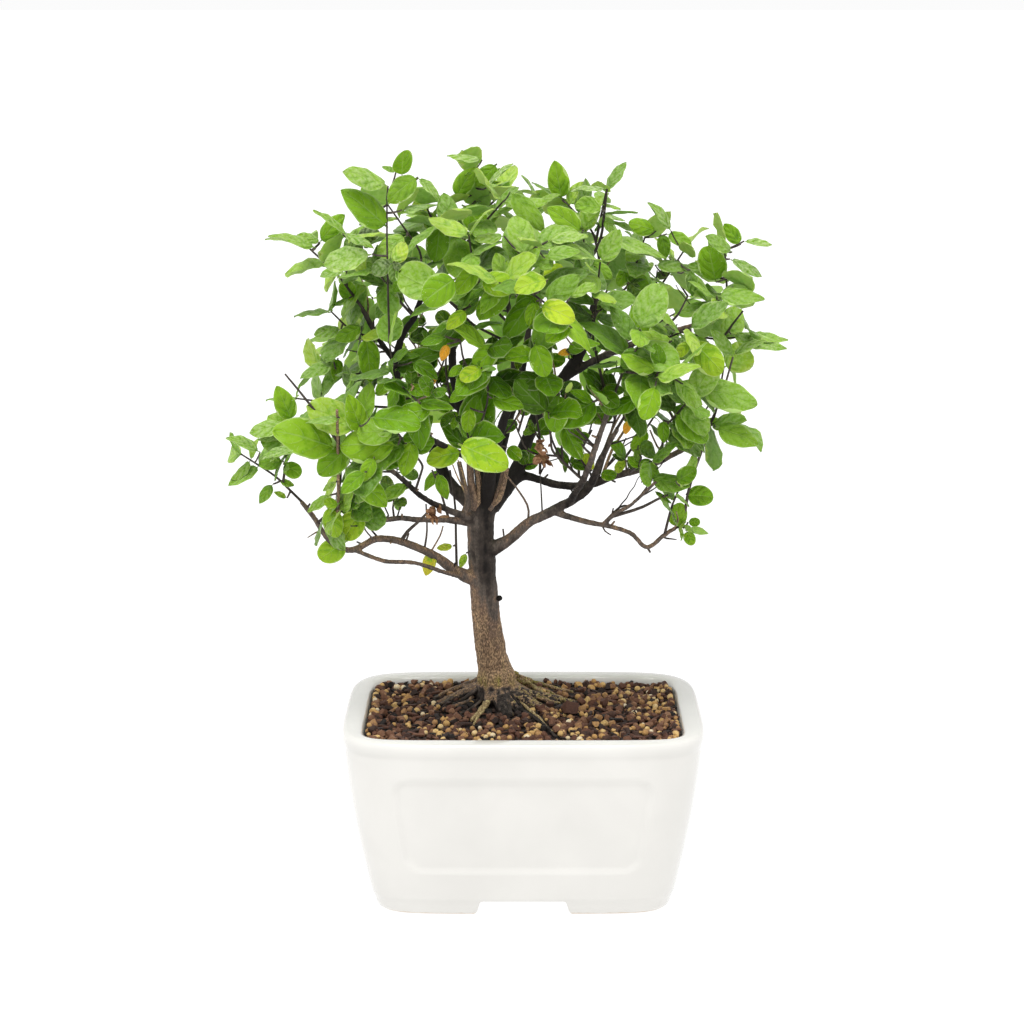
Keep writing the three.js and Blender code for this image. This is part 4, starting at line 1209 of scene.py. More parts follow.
# How far along a leaf its rows of points lie, on a plain leaf and on a fine one
leafRows = [0, 0.08, 0.115, 0.18, 0.28, 0.4, 0.54, 0.68, 0.81, 0.92, 1.0]
fineRows = [
    0, 0.05, 0.08, 0.095, 0.12, 0.155, 0.2, 0.26, 0.33, 0.41,
    0.5, 0.59, 0.68, 0.76, 0.83, 0.89, 0.94, 0.975, 1.0,
]
leafBody = {  # shares of the leaf's length
    "stalk": 0.08,
    "stalkHalf": 0.02,
    "stalkDepth": 0.03,
    "depth": 0.011,
    "crease": 0.03,
    "weld": 0.0006,
}


def halfWidthAt(kind, u):  # of a blade with its stalk, as a share of the leaf's length
    if u <= leafBody["stalk"]:
        return leafBody["stalkHalf"]
    v = (u - leafBody["stalk"]) / (1 - leafBody["stalk"])
    peak = kind["base"] / (kind["base"] + kind["tip"])
    top = peak ** kind["base"] * (1 - peak) ** kind["tip"]
    half = kind["width"] / 2 * v ** kind["base"] * (1 - v) ** kind["tip"] / top
    return max(half, leafBody["stalkHalf"] if u < 0.5 else 0)


def leafShape(kind, rows, columns):  # a closed leaf of unit length along X, sharp at its margin
    last = len(rows) - 1
    size = {"x_subdivisions": last, "y_subdivisions": columns, "size": 1}
    leaf = startPiece(bpy.ops.mesh.primitive_grid_add, "leaf", **size)
    for corner in leaf.data.uv_layers.active.data:
        corner.uv[0] = rows[round(corner.uv[0] * last)]
    coat(leaf, leafTop, leafUnder)
    applyModifier(leaf, "SOLIDIFY", thickness=0.01, offset=-1, use_rim=False, material_offset=1)
    places = pointsOf(leaf)
    between = []  # points of the lower face between its margin and its midrib
    for i, (x, y, _) in enumerate(places):
        row = round((x + 0.5) * last)
        u, side = rows[row], 2 * y
        onMargin = abs(side) > 0.9 or row in (0, last)
        onBlade = u > leafBody["stalk"]
        above = i < len(places) // 2
        depth = 0 if onMargin or above else leafBody["depth"] if onBlade else leafBody["stalkDepth"]
        ripple = kind["wave"] * side**2 * math.sin(u * 17 + side * 2.2 + kind["seed"] * 1.7) * onBlade
        halfway = 0.25 < abs(side) < 0.75
        crease = leafBody["crease"] * halfway * onBlade * above
        places[i] = (u, halfWidthAt(kind, u) * side, ripple + crease - depth)
        if halfway and not above:
            between.append(places[i].copy())
    setPoints(leaf, places)
    pointOutwards(leaf, leafBody["weld"])
    nearest = pointTree(between)
    isBetween = [nearest.find(vertex.co)[2] < 1e-5 for vertex in leaf.data.vertices]
    for edge in leaf.data.edges:  # these points aren't needed
        edge.select = all(isBetween[i] for i in edge.vertices)
    makeActive(leaf)
    bpy.ops.object.mode_set(mode="EDIT")
    bpy.ops.mesh.dissolve_edges(use_verts=True)
    bpy.ops.object.mode_set(mode="OBJECT")
    return leaf


leafShapes = [leafShape(kind, leafRows, 4) for kind in leafKinds]
leafShapes += [leafShape(kind, fineRows, 6) for kind in leafKinds]
leafPoints = [pointsOf(leaf) for leaf in leafShapes]
print("leaf shapes made", [len(leaf.data.polygons) for leaf in leafShapes])


def shootStart(limb, at, tip):
    curve = WoodCurve(limbs[limb])
    along = directionAt(curve, at)
    middle = rodPoint(curve, at, len(limbs[limb]) - 1)
    if at == 1:
        return middle + along * stemSize["clearance"], along
    lean = math.radians(stemSize["lean"])
    toTip = tip - middle
    forwards = 1 if toTip.dot(along) >= 0 else -1
    heading = squareTo(toTip, along) * math.sin(lean) + along * (forwards * math.cos(lean))
    footReach = stemSize["baseRadius"] * math.cos(lean)
    distance = (curve.radiusAt(at) * stemSize["seat"] + stemSize["clearance"] + footReach) / math.sin(lean)
    return middle + heading * distance, heading


def shootStems(entry):
    limb, at, _, _, *tips = entry
    tips = [Vector(tip) for tip in tips]
    start, heading = shootStart(limb, at, tips[0])
    reach = (tips[0] - start).length
    curves = [StemCurve(start, start + heading * stemSize["bend"] * reach, tips[0])]
    for tip in tips[1:]:
        fork = rodPoint(curves[0], stemSize["fork"], stemSize["steps"])
        heading = (tip - fork).normalized()
        curves.append(StemCurve(fork, fork + heading * stemSize["bend"] * (tip - fork).length, tip))
    return curves


def findStems():
    found = []
    for shoot, entry in enumerate(shoots):
        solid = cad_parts["shoot_%02d" % (shoot + 1)]
        corners = pointTree([toPot(point.co) for point in solid.data.vertices])
        for fork, curve in enumerate(shootStems(entry)):
            turn = 2 * drawsFrom(shoot * 3 + fork)() - 1
            found.append({
                "curve": curve, "length": curve.length(), "pairs": entry[2], "leafLength": entry[3],
                "turn": turn, "shoot": shoot, "fork": fork, "corners": corners,
            })
    return found


def leafPose(stem, pair, sign, attempt, seed, lengthShare=1):
    # Where a leaf sits and which way it faces, as the part's source draws it
    draw = drawsFrom(seed * 10 + attempt)

    def spread(share):
        return (draw() - 0.5) * 2 * share

    curve = stem["curve"]
    setback = leafing["tipSetback"] + pair * stem["leafLength"] * leafing["spacing"]
    t = max(1 - setback / stem["length"], leafing["firstPlace"])
    base = rodPoint(curve, t, stemSize["steps"])
    stemWay = directionAt(curve, t)
    up = Vector((0, 0, 1))
    sideways = stemWay.cross(up).normalized()
    pairTurn = (pair % 2) * leafing["pairTurn"] + spread(0.3) + attempt * leafing["retryTurn"]
    sideways.rotate(Quaternion(stemWay, stem["turn"] + pairTurn))
    forwards = 0.4 if pair > 0 else 1.5 if sign < 0 else 0.6
    along = sideways * sign + stemWay * (forwards + spread(0.2))
    along.z += spread(0.3) - 0.1
    along.normalize()
    outwards = (base - leafing["canopyMiddle"]).normalized()
    normal = up * 0.5 + outwards * 0.8 + Vector((spread(0.4), spread(0.4), spread(0.2)))
    youth = 0.9 if pair == 0 else 1
    shrink = 0.8 if attempt > 5 else 1
    length = stem["leafLength"] * (1 + spread(leafing["lengthSpread"])) * youth * shrink * lengthShare
    return {"base": base, "along": along, "normal": squareTo(normal, along), "length": length}


def bladeCorner(pose, u, side, lift=0):  # a place on a coarse blade, so far along it and to its side
    across = pose["normal"].cross(pose["along"])
    half = leafing["width"] / 2 * pose["length"]
    drop = leafing["arch"] * u * u + leafing["dome"] * abs(side)
    return (
        pose["base"]
        + pose["along"] * (u * pose["length"])
        + across * (side * half)
        + pose["normal"] * (lift - drop * pose["length"])
    )


bladeOutline = [(0.08, 0), (0.3, 0.95), (0.68, 0.86), (1, 0), (0.68, -0.86), (0.3, -0.95)]


def bladeTree(pose):  # a coarse blade, to test what it meets
    corners = [bladeCorner(pose, u, side) for u, side in bladeOutline + [(0.5, 0)]]
    count = len(bladeOutline)
    return BVHTree.FromPolygons(corners, [(i, (i + 1) % count, count) for i in range(count)])


class LeafSpace:
    # Keeps the blades that are placed, and tells whether another one would cut into them.
    def __init__(self):
        self.placed = []

    def add(self, pose):
        self.placed.append((bladeCorner(pose, 0.5, 0), pose["length"] / 2, bladeTree(pose)))

    def isFree(self, pose):
        middle = bladeCorner(pose, 0.5, 0)
        tree = bladeTree(pose)
        for other, reach, otherTree in self.placed:
            if (other - middle).length < reach + pose["length"] / 2 and tree.overlap(otherTree):
                return False
        return True


def covers(tree, place, gap):  # whether a blade stands between the camera and a place, clear of it by the gap
    toPlace = place - eye
    return tree.ray_cast(eye, toPlace.normalized(), toPlace.length - gap)[0] is not None


def hidesFront(pose):  # whether a leaf would stand before one of the front leaves
    tree = bladeTree(pose)
    middle = bladeCorner(pose, 0.5, 0)
    return any(
        covers(tree, place, 1) for place in frontSeen
        if place.y > middle.y - pose["length"] and (place - middle).length < 90
    )


# Parts of the view as left, top, right, bottom. The first ones stay free of extra leaves, so that twigs and
# background show. The others are the trunk's top, a withered bunch and one pale leaf, which no leaf may hide.
openParts = [
    (500, 385, 655, 485), (400, 370, 455, 430), (716, 262, 1024, 1024), (0, 0, 344, 332), (0, 0, 1024, 174),
    (0, 380, 350, 425),
]
shownParts = [(452, 466, 508, 520), (528, 440, 556, 472), (434, 438, 457, 458)]


def isSeenIn(parts, place):
    x, y = seenAt(place)
    return any(left < x < right and top < y < bottom for left, top, right, bottom in parts)


def opensView(pose):
    return not isSeenIn(openParts, bladeCorner(pose, 0.6, 0))


def sparesShown(pose):
    isBefore = pose["base"].y < 14
    return not (isBefore and any(isSeenIn(shownParts, bladeCorner(pose, u, 0)) for u in (0.3, 0.6, 0.95)))


crown = {"middle": Vector((-5, 5, 205)), "halfWidth": 98, "halfDepth": 110, "halfHeight": 95, "halfView": 92}


def outwardness(place):  # 0 deep inside the crown, 1 at its outside
    x, y, z = place - crown["middle"]
    reach = math.hypot(x / crown["halfWidth"], z / crown["halfHeight"], y / crown["halfDepth"])
    return clamp((reach - 0.4) / 0.5)


def paintedSheenAt(place, facing):  # how much painted sheen a leaf gets, pale colour standing in for the glint of a glossy face seen at a grazing angle: none deep inside the crown, more out at its edge
    x, _, z = place - crown["middle"]
    outwards = math.hypot(x / crown["halfWidth"], z / crown["halfView"])
    return clamp((outwards - 0.45) / 0.4) * clamp(1.25 - 1.7 * facing, 0.05, 0.95)


def randomManner(draw):
    return {
        "arch": draw.uniform(0.02, 0.2),
        "droop": draw.uniform(-0.2, 1.1),
        "dome": draw.uniform(-0.09, 0.11),
        "twist": draw.gauss(0, 0.4),
        "sickle": draw.gauss(0, 0.05),
    }


def leafAt(pose, kind, tone, manner):
    # Manner bends the shape: how far it arches, droops at the tip, domes, twists and curves sideways.
    leaf = copyOf(leafShapes[kind])
    u, y, z = leafPoints[kind].T
    side = np.minimum(np.abs(y) / leafing["domeReach"], 1.2)
    droop = manner["droop"] * np.maximum(u - leafing["droopFrom"], 0) ** 2
    drop = manner["arch"] * u**2 + droop + manner["dome"] * side**1.5
    lift = z - drop + y * np.sin(manner["twist"] * u)
    along, normal = np.array(pose["along"]), np.array(pose["normal"])
    across = np.cross(normal, along)
    reach = u[:, None] * along + (y + manner["sickle"] * u**2)[:, None] * across + lift[:, None] * normal
    setPoints(leaf, np.array(potMiddle) + (np.array(pose["base"]) + reach * pose["length"]) * mm)
    setTone(leaf, "leafTone", tone)
    tip = pose["base"] + pose["along"] * pose["length"]
    # Painted sheen: more on leaves near the crown's edge whose face shows little.
    setTone(leaf, "leafBloom", paintedSheenAt(tip, pose.get("facing", 0.48)))
    return leaf


def stemTube(curve, foot):  # the stem's middle follows the line on which its leaves sit
    count = max(int(curve.length() / stemSize["spacing"]), 4)
    places = [rodPoint(curve, i / count, stemSize["steps"]) for i in range(count + 1)]
    for _ in range(2):
        inner = [(a + b * 2 + c) / 4 for a, b, c in zip(places, places[1:], places[2:])]
        places = [places[0]] + inner + [places[-1]]
    radii = taper(stemSize["shownBase"], stemSize["shownTip"], count)
    if foot:
        places.insert(0, foot)
        radii.insert(0, stemSize["shownBase"] * stemSize["flare"])
    return barkTube(places, radii, 6, 0.2)


def packedPose(stem, pair, sign, seed):
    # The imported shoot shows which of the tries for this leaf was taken: its tip is one of the solid's corners
    for attempt in range(leafing["retries"]):
        pose = leafPose(stem, pair, sign, attempt, seed)
        ends = [bladeCorner(pose, *end, leafing["solidHalf"]) for end in ((1, 0), (0.68, 0.86))]
        if min(stem["corners"].find(end)[2] for end in ends) < 0.05:
            return pose
    return None


def placePackedLeaves():  # the solids' own leaves, pair after pair from the tips
    found = []
    for pair in range(max(stem["pairs"] for stem in stems)):
        for index, stem in enumerate(stems):
            for sign in (-1, 1) if pair < stem["pairs"] else ():
                pose = packedPose(stem, pair, sign, index * 40 + pair * 2 + (sign + 1) // 2)
                if pose and sparesShown(pose):
                    space.add(pose)
                    found.append((pose, pair, index))
    return found


def placeExtraLeaves():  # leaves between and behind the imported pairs
    found = []
    for index, stem in enumerate(stems):
        room = stem["length"] * (1 - leafing["firstPlace"]) - leafing["tipSetback"]
        pairs = [n + 0.5 for n in range(stem["pairs"])] + [stem["pairs"] + n for n in range(3)]
        pairs = [pair for pair in pairs if pair * stem["leafLength"] * leafing["spacing"] <= room]
        for pair, sign in product(pairs, (-1, 1)):
            seed = 50000 + index * 40 + int(pair * 4) + (sign + 1) // 2
            share = 0.82 - 0.1 * (pair % 1 > 0) - 0.06 * pair + 0.2 * drawsFrom(seed)()
            for attempt in range(leafing["retries"]):
                pose = leafPose(stem, pair, sign, attempt, seed, share)
                inCrown = leafPlaces.find(bladeCorner(pose, 1, 0))[2] <= 9
                if inCrown and opensView(pose) and isPlaceable(pose):
                    space.add(pose)
                    found.append((pose, pair, index))
                    break
    return found


def isPlaceable(pose):
    return sparesShown(pose) and space.isFree(pose) and not hidesFront(pose)


# Bare stems that show from the front: radius at foot and tip, bark tone, how far each place comes forward
# of the one before it, then places in the view from foot to tip
bareStems = [
    [0.5, 0.3, 0.2, 1.5, (548, 468), (530, 452), (520, 436), (514, 420)],
    [0.5, 0.3, 0.2, 1.5, (560, 462), (552, 440), (548, 418), (538, 398)],
    [0.45, 0.3, 0.15, 1.5, (588, 470), (578, 452), (588, 436), (594, 414)],
    [0.45, 0.3, 0.15, 1.5, (600, 480), (610, 462), (622, 448), (634, 440)],
    [0.7, 0.45, 0.72, 2.5, (604, 470), (612, 450), (622, 434), (633, 416)],
    [0.45, 0.3, 0.2, 1.5, (618, 470), (628, 460), (640, 455), (652, 448)],
    [0.4, 0.25, 0.2, 1.5, (536, 505), (541, 488), (540, 474)],
    [0.4, 0.25, 0.2, 1.5, (520, 468), (532, 464), (546, 462), (560, 458)],
    [0.5, 0.3, 0.15, 1.5, (500, 440), (512, 425), (524, 402), (530, 384)],
    [0.5, 0.3, 0.15, 1.5, (470, 440), (482, 420), (488, 396), (486, 372)],
    [0.5, 0.3, 0.15, 1.5, (440, 400), (436, 380), (444, 360), (440, 340)],
    [0.85, 0.55, 0.55, 15, (339, 530), (338, 508), (338, 460), (337, 410)],
    [0.5, 0.35, 0.2, 0.5, (392, 330), (388, 290), (387, 240), (387, 200)],
    [0.7, 0.45, 0.15, 1.5, (590, 270), (600, 240), (604, 215), (607, 189)],
    [0.7, 0.4, 0.2, 1.5, (345, 440), (318, 415), (300, 392), (285, 374)],
    [0.7, 0.4, 0.2, 1.5, (712, 342), (725, 335), (732, 325), (743, 311)],
    [0.7, 0.4, 0.3, 1.5, (683, 515), (690, 485), (702, 450), (712, 420), (722, 395), (733, 357)],
    [0.5, 0.35, 0.25, 1.5, (427, 552), (427, 530), (426, 504)],
    [0.6, 0.4, 0.2, 1.5, (457, 567), (456, 540), (455, 505), (450, 470)],
    [0.4, 0.3, 0.6, 1.5, (434, 550), (440, 536), (443, 526)],
    [0.9, 0.5, 0.3, 1.5, (403, 541), (408, 531), (417, 523), (428, 512)],
    [0.5, 0.4, 0.3, 1.5, (503, 541), (503, 529)],
    [0.55, 0.35, 0.45, 1.5, (527, 523), (528, 507), (518, 490), (507, 476)],
    [0.6, 0.35, 0.25, 1.5, (604, 523), (620, 507), (633, 504), (652, 480)],
    [0.8, 0.45, 0.25, 1.5, (612, 518), (640, 508), (658, 499), (668, 495)],
    [0.4, 0.25, 0.25, 1.5, (600, 527), (605, 531), (611, 535)],
    [0.6, 0.4, 0.2, 1.5, (668, 458), (676, 430), (668, 405), (673, 383)],
    [0.6, 0.4, 0.2, 1.5, (676, 452), (678, 432), (684, 405), (690, 380)],
    [0.5, 0.3, 0.2, 1.5, (606, 470), (618, 455), (626, 438)],
    [0.7, 0.4, 0.5, 1.5, (598, 458), (612, 430), (624, 408)],
    [0.5, 0.35, 0.6, 1.5, (668, 460), (657, 446), (650, 430)],
    [1.5, 1.0, 0.42, 1, (466, 509), (468, 500), (464, 484), (459, 462)],
    [1.9, 1.5, 0.5, 1.5, (474, 509), (475, 500), (471, 484), (470, 462)],
    [1.4, 1.0, 0.6, 2, (478, 509), (479, 500), (479, 482), (476, 462)],
    [0.75, 0.6, 0.9, 2.5, (483, 510), (484, 501), (488, 490), (493, 479), (494, 466)],
    [1.5, 1.2, 0.5, 1, (493, 509), (495, 500), (500, 488), (504, 472)],
    [1.2, 0.9, 0.62, 2, (497, 509), (499, 499), (504, 484), (507, 468)],
    [0.35, 0.25, 0.8, 3, (462, 500), (458, 478), (452, 463)],
    [0.35, 0.25, 0.8, 3, (468, 500), (463, 474), (458, 460)],
    [0.6, 0.35, 0.3, 1.5, (450, 520), (440, 490), (432, 470)],
    [0.6, 0.4, 0.15, 1.5, (556, 470), (562, 445), (566, 425)],
    [0.6, 0.4, 0.15, 1.5, (545, 470), (540, 440), (536, 415)],
    [0.5, 0.35, 0.2, 1.5, (520, 430), (526, 400), (520, 368)],
    [0.6, 0.35, 0.2, 1.5, (575, 480), (580, 455), (592, 430)],
    [0.6, 0.35, 0.2, 1.5, (590, 500), (592, 480), (585, 460)],
    [0.5, 0.3, 0.2, 1.5, (690, 440), (700, 420), (712, 400)],
    [0.5, 0.3, 0.3, 1.5, (430, 380), (418, 355), (412, 338)],
    [0.6, 0.35, 0.25, 1.5, (452, 400), (446, 370), (447, 345)],
    [0.6, 0.35, 0.25, 1.5, (470, 390), (466, 365), (460, 340)],
]
# Leaves that show from the front: base and tip in the view, how much of the face shows, kind, tone.
# One whose face counts below nought starts behind its stem.
frontLeaves = [
    (260, 452, 226, 439, 0.35, 2, 0.45), (285, 425, 250, 433, 0.4, 0, 0.45),
    (292, 421, 277, 386, 0.9, 0, 0.6), (336, 448, 274, 430, 0.75, 1, 0.6),
    (350, 446, 320, 476, -0.8, 1, 0.52), (398, 445, 341, 447, 0.7, 1, 0.6),
    (362, 432, 347, 396, 0.85, 0, 0.62), (370, 418, 420, 425, 0.5, 1, 0.36),
    (340, 418, 306, 424, 0.4, 0, 0.4), (280, 437, 258, 440, 0.35, 2, 0.45),
    (300, 449, 262, 459, 0.3, 2, 0.5), (283, 461, 259, 466, 0.65, 3, 0.5),
    (283, 464, 301, 475, 0.7, 3, 0.45), (280, 480, 294, 486, 0.6, 0, 0.5), (273, 484, 259, 503, 0.6, 2, 0.5),
    (287, 498, 274, 492, 0.5, 2, 0.55), (330, 495, 308, 512, 0.5, 2, 0.55),
    (336, 482, 323, 490, 0.4, 2, 0.6), (328, 506, 337, 537, 0.95, 1, 0.66),
    (360, 510, 345, 539, 0.9, 3, 0.7), (338, 506, 324, 501, 0.7, 3, 0.65),
    (345, 541, 321, 561, 0.9, 3, 0.67), (365, 472, 341, 492, 0.7, 0, 0.5),
    (356, 478, 386, 506, 0.75, 0, 0.48), (408, 484, 382, 500, 0.45, 2, 0.6),
    (374, 457, 362, 482, 0.7, 0, 0.6), (412, 440, 404, 475, 0.8, 0, 0.6),
    (316, 248, 269, 238, 0.45, 2, 0.48), (320, 243, 298, 234, 0.4, 0, 0.45),
    (320, 242, 345, 216, 0.7, 0, 0.42), (343, 234, 374, 247, 0.35, 2, 0.55),
    (372, 254, 324, 266, 0.35, 0, 0.55), (345, 270, 320, 277, 0.4, 0, 0.5),
    (351, 302, 345, 281, 0.9, 3, 0.55), (349, 298, 333, 307, 0.45, 2, 0.5),
    (341, 329, 314, 334, 0.4, 0, 0.5), (336, 345, 307, 357, 0.45, 0, 0.66),
    (334, 362, 300, 378, 0.45, 0, 0.4), (338, 358, 336, 380, 0.8, 0, 0.45),
    (362, 326, 336, 341, 0.7, 1, 0.45), (360, 340, 395, 330, 0.45, 2, 0.7),
    (362, 384, 330, 396, 0.5, 2, 0.45), (392, 378, 376, 395, 0.7, 0, 0.5), (366, 335, 372, 383, 0.8, 2, 0.5),
    (388, 186, 343, 173, 0.42, 0, 0.58), (402, 176, 402, 151, 0.95, 3, 0.5),
    (396, 172, 382, 166, 0.5, 0, 0.35), (418, 177, 387, 200, 0.65, 0, 0.42),
    (388, 228, 342, 192, 0.7, 0, 0.4), (418, 178, 440, 200, 0.4, 2, 0.5), (402, 210, 437, 205, 0.4, 0, 0.33),
    (437, 228, 396, 228, 0.45, 2, 0.6), (440, 224, 436, 262, 0.95, 1, 0.28),
    (482, 160, 447, 156, 0.3, 0, 0.45), (497, 164, 478, 188, 0.7, 0, 0.5),
    (456, 198, 471, 166, 0.85, 0, 0.45), (486, 188, 513, 165, 0.15, 2, 0.4),
    (462, 205, 490, 236, 0.8, 1, 0.45), (504, 236, 474, 240, 0.4, 0, 0.62),
    (456, 278, 422, 300, 0.9, 3, 0.42), (479, 268, 455, 291, 0.7, 1, 0.6),
    (480, 280, 516, 288, 0.8, 3, 0.66), (406, 236, 378, 257, 0.5, 0, 0.62),
    (395, 268, 420, 290, 0.6, 0, 0.28), (420, 262, 392, 290, 0.7, 0, 0.3),
    (562, 200, 555, 161, 1.0, 0, 0.58), (606, 189, 572, 192, 0.18, 2, 0.4),
    (536, 196, 521, 176, 0.3, 2, 0.35), (602, 208, 575, 206, 0.6, 1, 0.55),
    (510, 192, 543, 232, 0.6, 2, 0.55), (538, 203, 560, 196, 0.45, 0, 0.45),
    (582, 232, 547, 208, 0.7, 0, 0.48), (548, 241, 588, 236, 0.35, 0, 0.6),
    (545, 258, 580, 250, 0.5, 0, 0.42), (562, 262, 548, 294, 1.0, 3, 0.76),
    (548, 279, 514, 290, 0.6, 1, 0.7), (570, 298, 595, 284, 0.35, 2, 0.6),
    (603, 214, 625, 221, 0.25, 2, 0.5), (604, 220, 614, 236, 0.5, 2, 0.5),
    (656, 231, 629, 222, 0.75, 1, 0.48), (671, 231, 648, 204, 0.35, 2, 0.4),
    (667, 234, 691, 245, 0.65, 1, 0.43), (661, 234, 668, 258, 0.7, 0, 0.33),
    (606, 238, 666, 258, 0.4, 2, 0.55), (628, 268, 617, 285, 0.9, 1, 0.55),
    (626, 270, 650, 292, 0.6, 0, 0.45), (590, 262, 612, 278, 0.6, 0, 0.45),
    (655, 265, 691, 271, 0.45, 0, 0.5), (684, 272, 712, 305, 0.5, 2, 0.42),
    (690, 270, 695, 296, 0.6, 2, 0.22), (712, 276, 688, 265, 0.5, 0, 0.33),
    (716, 282, 708, 247, 0.9, 3, 0.4), (732, 252, 705, 238, 0.5, 0, 0.36),
    (741, 244, 723, 225, 0.7, 0, 0.53), (744, 241, 772, 246, 0.3, 2, 0.45),
    (730, 259, 761, 277, 0.3, 2, 0.38), (717, 296, 764, 300, 0.5, 0, 0.42),
    (706, 320, 738, 316, 0.5, 0, 0.5), (731, 334, 786, 351, 0.4, 2, 0.52),
    (733, 355, 765, 341, 0.35, 2, 0.55), (733, 357, 712, 328, 0.45, 2, 0.5),
    (693, 342, 722, 372, 0.75, 1, 0.68), (640, 298, 643, 339, 0.75, 0, 0.5),
    (672, 340, 636, 338, 0.4, 0, 0.65), (660, 368, 658, 343, 0.9, 1, 0.25),
    (690, 342, 675, 358, 0.7, 0, 0.7), (657, 372, 621, 356, 0.5, 1, 0.64),
    (655, 378, 700, 368, 0.5, 0, 0.66), (655, 386, 645, 420, 0.9, 1, 0.58),
    (700, 384, 757, 406, 0.55, 0, 0.44), (715, 427, 758, 443, 0.65, 0, 0.45),
    (675, 414, 706, 441, 0.75, 1, 0.4), (722, 422, 706, 421, 0.5, 0, 0.5), (663, 420, 664, 442, 0.8, 0, 0.5),
    (648, 430, 632, 449, 0.8, 0, 0.6), (640, 458, 661, 480, 0.6, 0, 0.52),
    (650, 478, 690, 486, 0.55, 0, 0.43), (676, 481, 697, 471, 0.95, 3, 0.3),
    (686, 495, 713, 497, 0.85, 3, 0.42), (679, 528, 676, 504, 0.95, 3, 0.46),
    (688, 522, 700, 522, 0.9, 3, 0.42), (686, 531, 693, 545, 0.9, 3, 0.45),
    (600, 474, 616, 476, 0.9, 3, 0.35), (683, 384, 694, 409, 0.5, 2, 0.45),
    (640, 468, 628, 456, 0.7, 0, 0.5), (466, 310, 448, 330, 0.8, 0, 0.7), (445, 336, 421, 345, 0.6, 0, 0.3),
    (447, 344, 443, 361, 0.9, 0, 0.97), (434, 371, 431, 386, 0.9, 0, 0.99),
    (500, 345, 472, 368, 0.75, 1, 0.45), (463, 365, 449, 376, 0.7, 0, 0.5),
    (412, 362, 438, 378, 0.6, 0, 0.25), (470, 388, 450, 402, 0.7, 0, 0.45),
    (432, 408, 398, 418, 0.6, 1, 0.5), (450, 412, 433, 402, 0.7, 0, 0.45),
    (460, 414, 438, 421, 0.5, 0, 0.55), (470, 408, 467, 432, 0.85, 1, 0.62),
    (462, 452, 427, 459, 0.75, 1, 0.7), (458, 444, 507, 467, 0.8, 1, 0.68),
    (492, 398, 522, 410, 0.7, 0, 0.45), (534, 343, 548, 376, 0.85, 1, 0.45),
    (540, 304, 575, 319, 0.9, 1, 0.76), (536, 301, 528, 326, 0.8, 0, 0.6),
    (572, 328, 545, 339, 0.6, 1, 0.56), (571, 344, 600, 346, 0.5, 0, 0.38),
    (572, 351, 558, 354, 0.8, 0, 0.99), (560, 393, 552, 432, 0.9, 1, 0.44),
    (563, 425, 580, 460, 0.7, 0, 0.4), (592, 402, 570, 391, 0.6, 0, 0.45),
    (507, 447, 521, 459, 0.8, 3, 0.42), (584, 452, 592, 470, 0.8, 0, 0.78),
    (440, 470, 424, 490, 0.6, 2, 0.55), (438, 473, 446, 500, 0.6, 2, 0.55),
    (433, 552, 424, 575, 0.95, 0, 0.82), (453, 546, 437, 549, 0.5, 0, 0.78),
    (466, 553, 461, 568, 0.6, 2, 0.72), (629, 420, 625, 434, 0.9, 0, 0.93),
]
# Withered bunches: place in the view, size, seed
dryBunches = [(434, 514, 6.5, 1), (543, 457, 6.5, 2), (541, 446, 4, 3)]
frontSpray = {"seed": 8, "tries": 9, "step": 3.0, "reach": 34, "radii": [0.5, 0.42, 0.36, 0.32], "tone": 0.3}


def pointsOnWood():
    top = WoodCurve(trunk)
    found = [top.at(0.62 + i * 0.04) + Vector((side, -4, 0)) for i in range(8) for side in (-3, 0, 3)]
    for points in limbs.values():
        curve = WoodCurve(points)
        found += [curve.at(i / 40) for i in range(4, 41)]
    for stem in stems:
        found += [rodPoint(stem["curve"], i / 10, stemSize["steps"]) for i in range(11)]
    return found


def nearestWood(x, y, forwards=0.06):  # the point on the wood that shows nearest to a place in the view
    ray = rayTo(x, y)

    def score(place):
        offset = place - eye
        return (offset - ray * offset.dot(ray)).length + forwards * place.y

    return min(woodPoints, key=score)


def growBareStems():
    pieces = []
    for footRadius, tipRadius, tone, forwards, *spots in bareStems:
        foot = nearestWood(*spots[0], 0.03)
        places = [foot] + [placeAt(x, y, foot.y - forwards * (i + 1)) for i, (x, y) in enumerate(spots[1:])]
        path = WoodCurve([(*place, 1) for place in places])
        count = max(int(path.length() / 3), 4)
        places = [path.at(i / count) for i in range(count + 1)]
        pieces.append(barkTube(places, taper(footRadius, tipRadius, count), 6, tone))
        woodPoints.extend(places[1:])
    return pieces


def frontPose(spot, foot, draw):
    baseX, baseY, tipX, tipY, facing, _, _ = spot
    startsBehind = facing < 0
    facing = abs(facing)
    depth = foot.y + frontSpray["step"] * startsBehind
    manner = randomManner(draw)
    lean = draw.uniform(-0.1, 0.3)
    rise = math.atan(manner["arch"] + manner["droop"] * (1 - leafing["droopFrom"]) ** 2)
    for _ in range(frontSpray["tries"]):
        base = placeAt(baseX, baseY, depth)
        flat = placeAt(tipX, tipY, depth) - base
        chord = placeAt(tipX, tipY, depth - lean * flat.length) - base
        length = chord.length
        chord.normalize()
        normal = squareTo(Vector((0, 0, 1)) * (1 - facing) + (eye - base).normalized() * facing, chord)
        along = chord * math.cos(rise) + normal * math.sin(rise)
        normal = squareTo(normal, along)
        pose = {"base": base, "along": along, "normal": normal, "length": length, "facing": facing}
        near = [tree for middle, _, tree in space.placed if (middle - base).length < 70]
        isHidden = any(covers(tree, bladeCorner(pose, u, 0), 2) for u in (0.4, 0.8) for tree in near)
        isFree = space.isFree(pose)
        if isFree and (startsBehind or not isHidden):
            break
        depth += frontSpray["step"] if startsBehind else -frontSpray["step"]
    return pose, manner, isFree


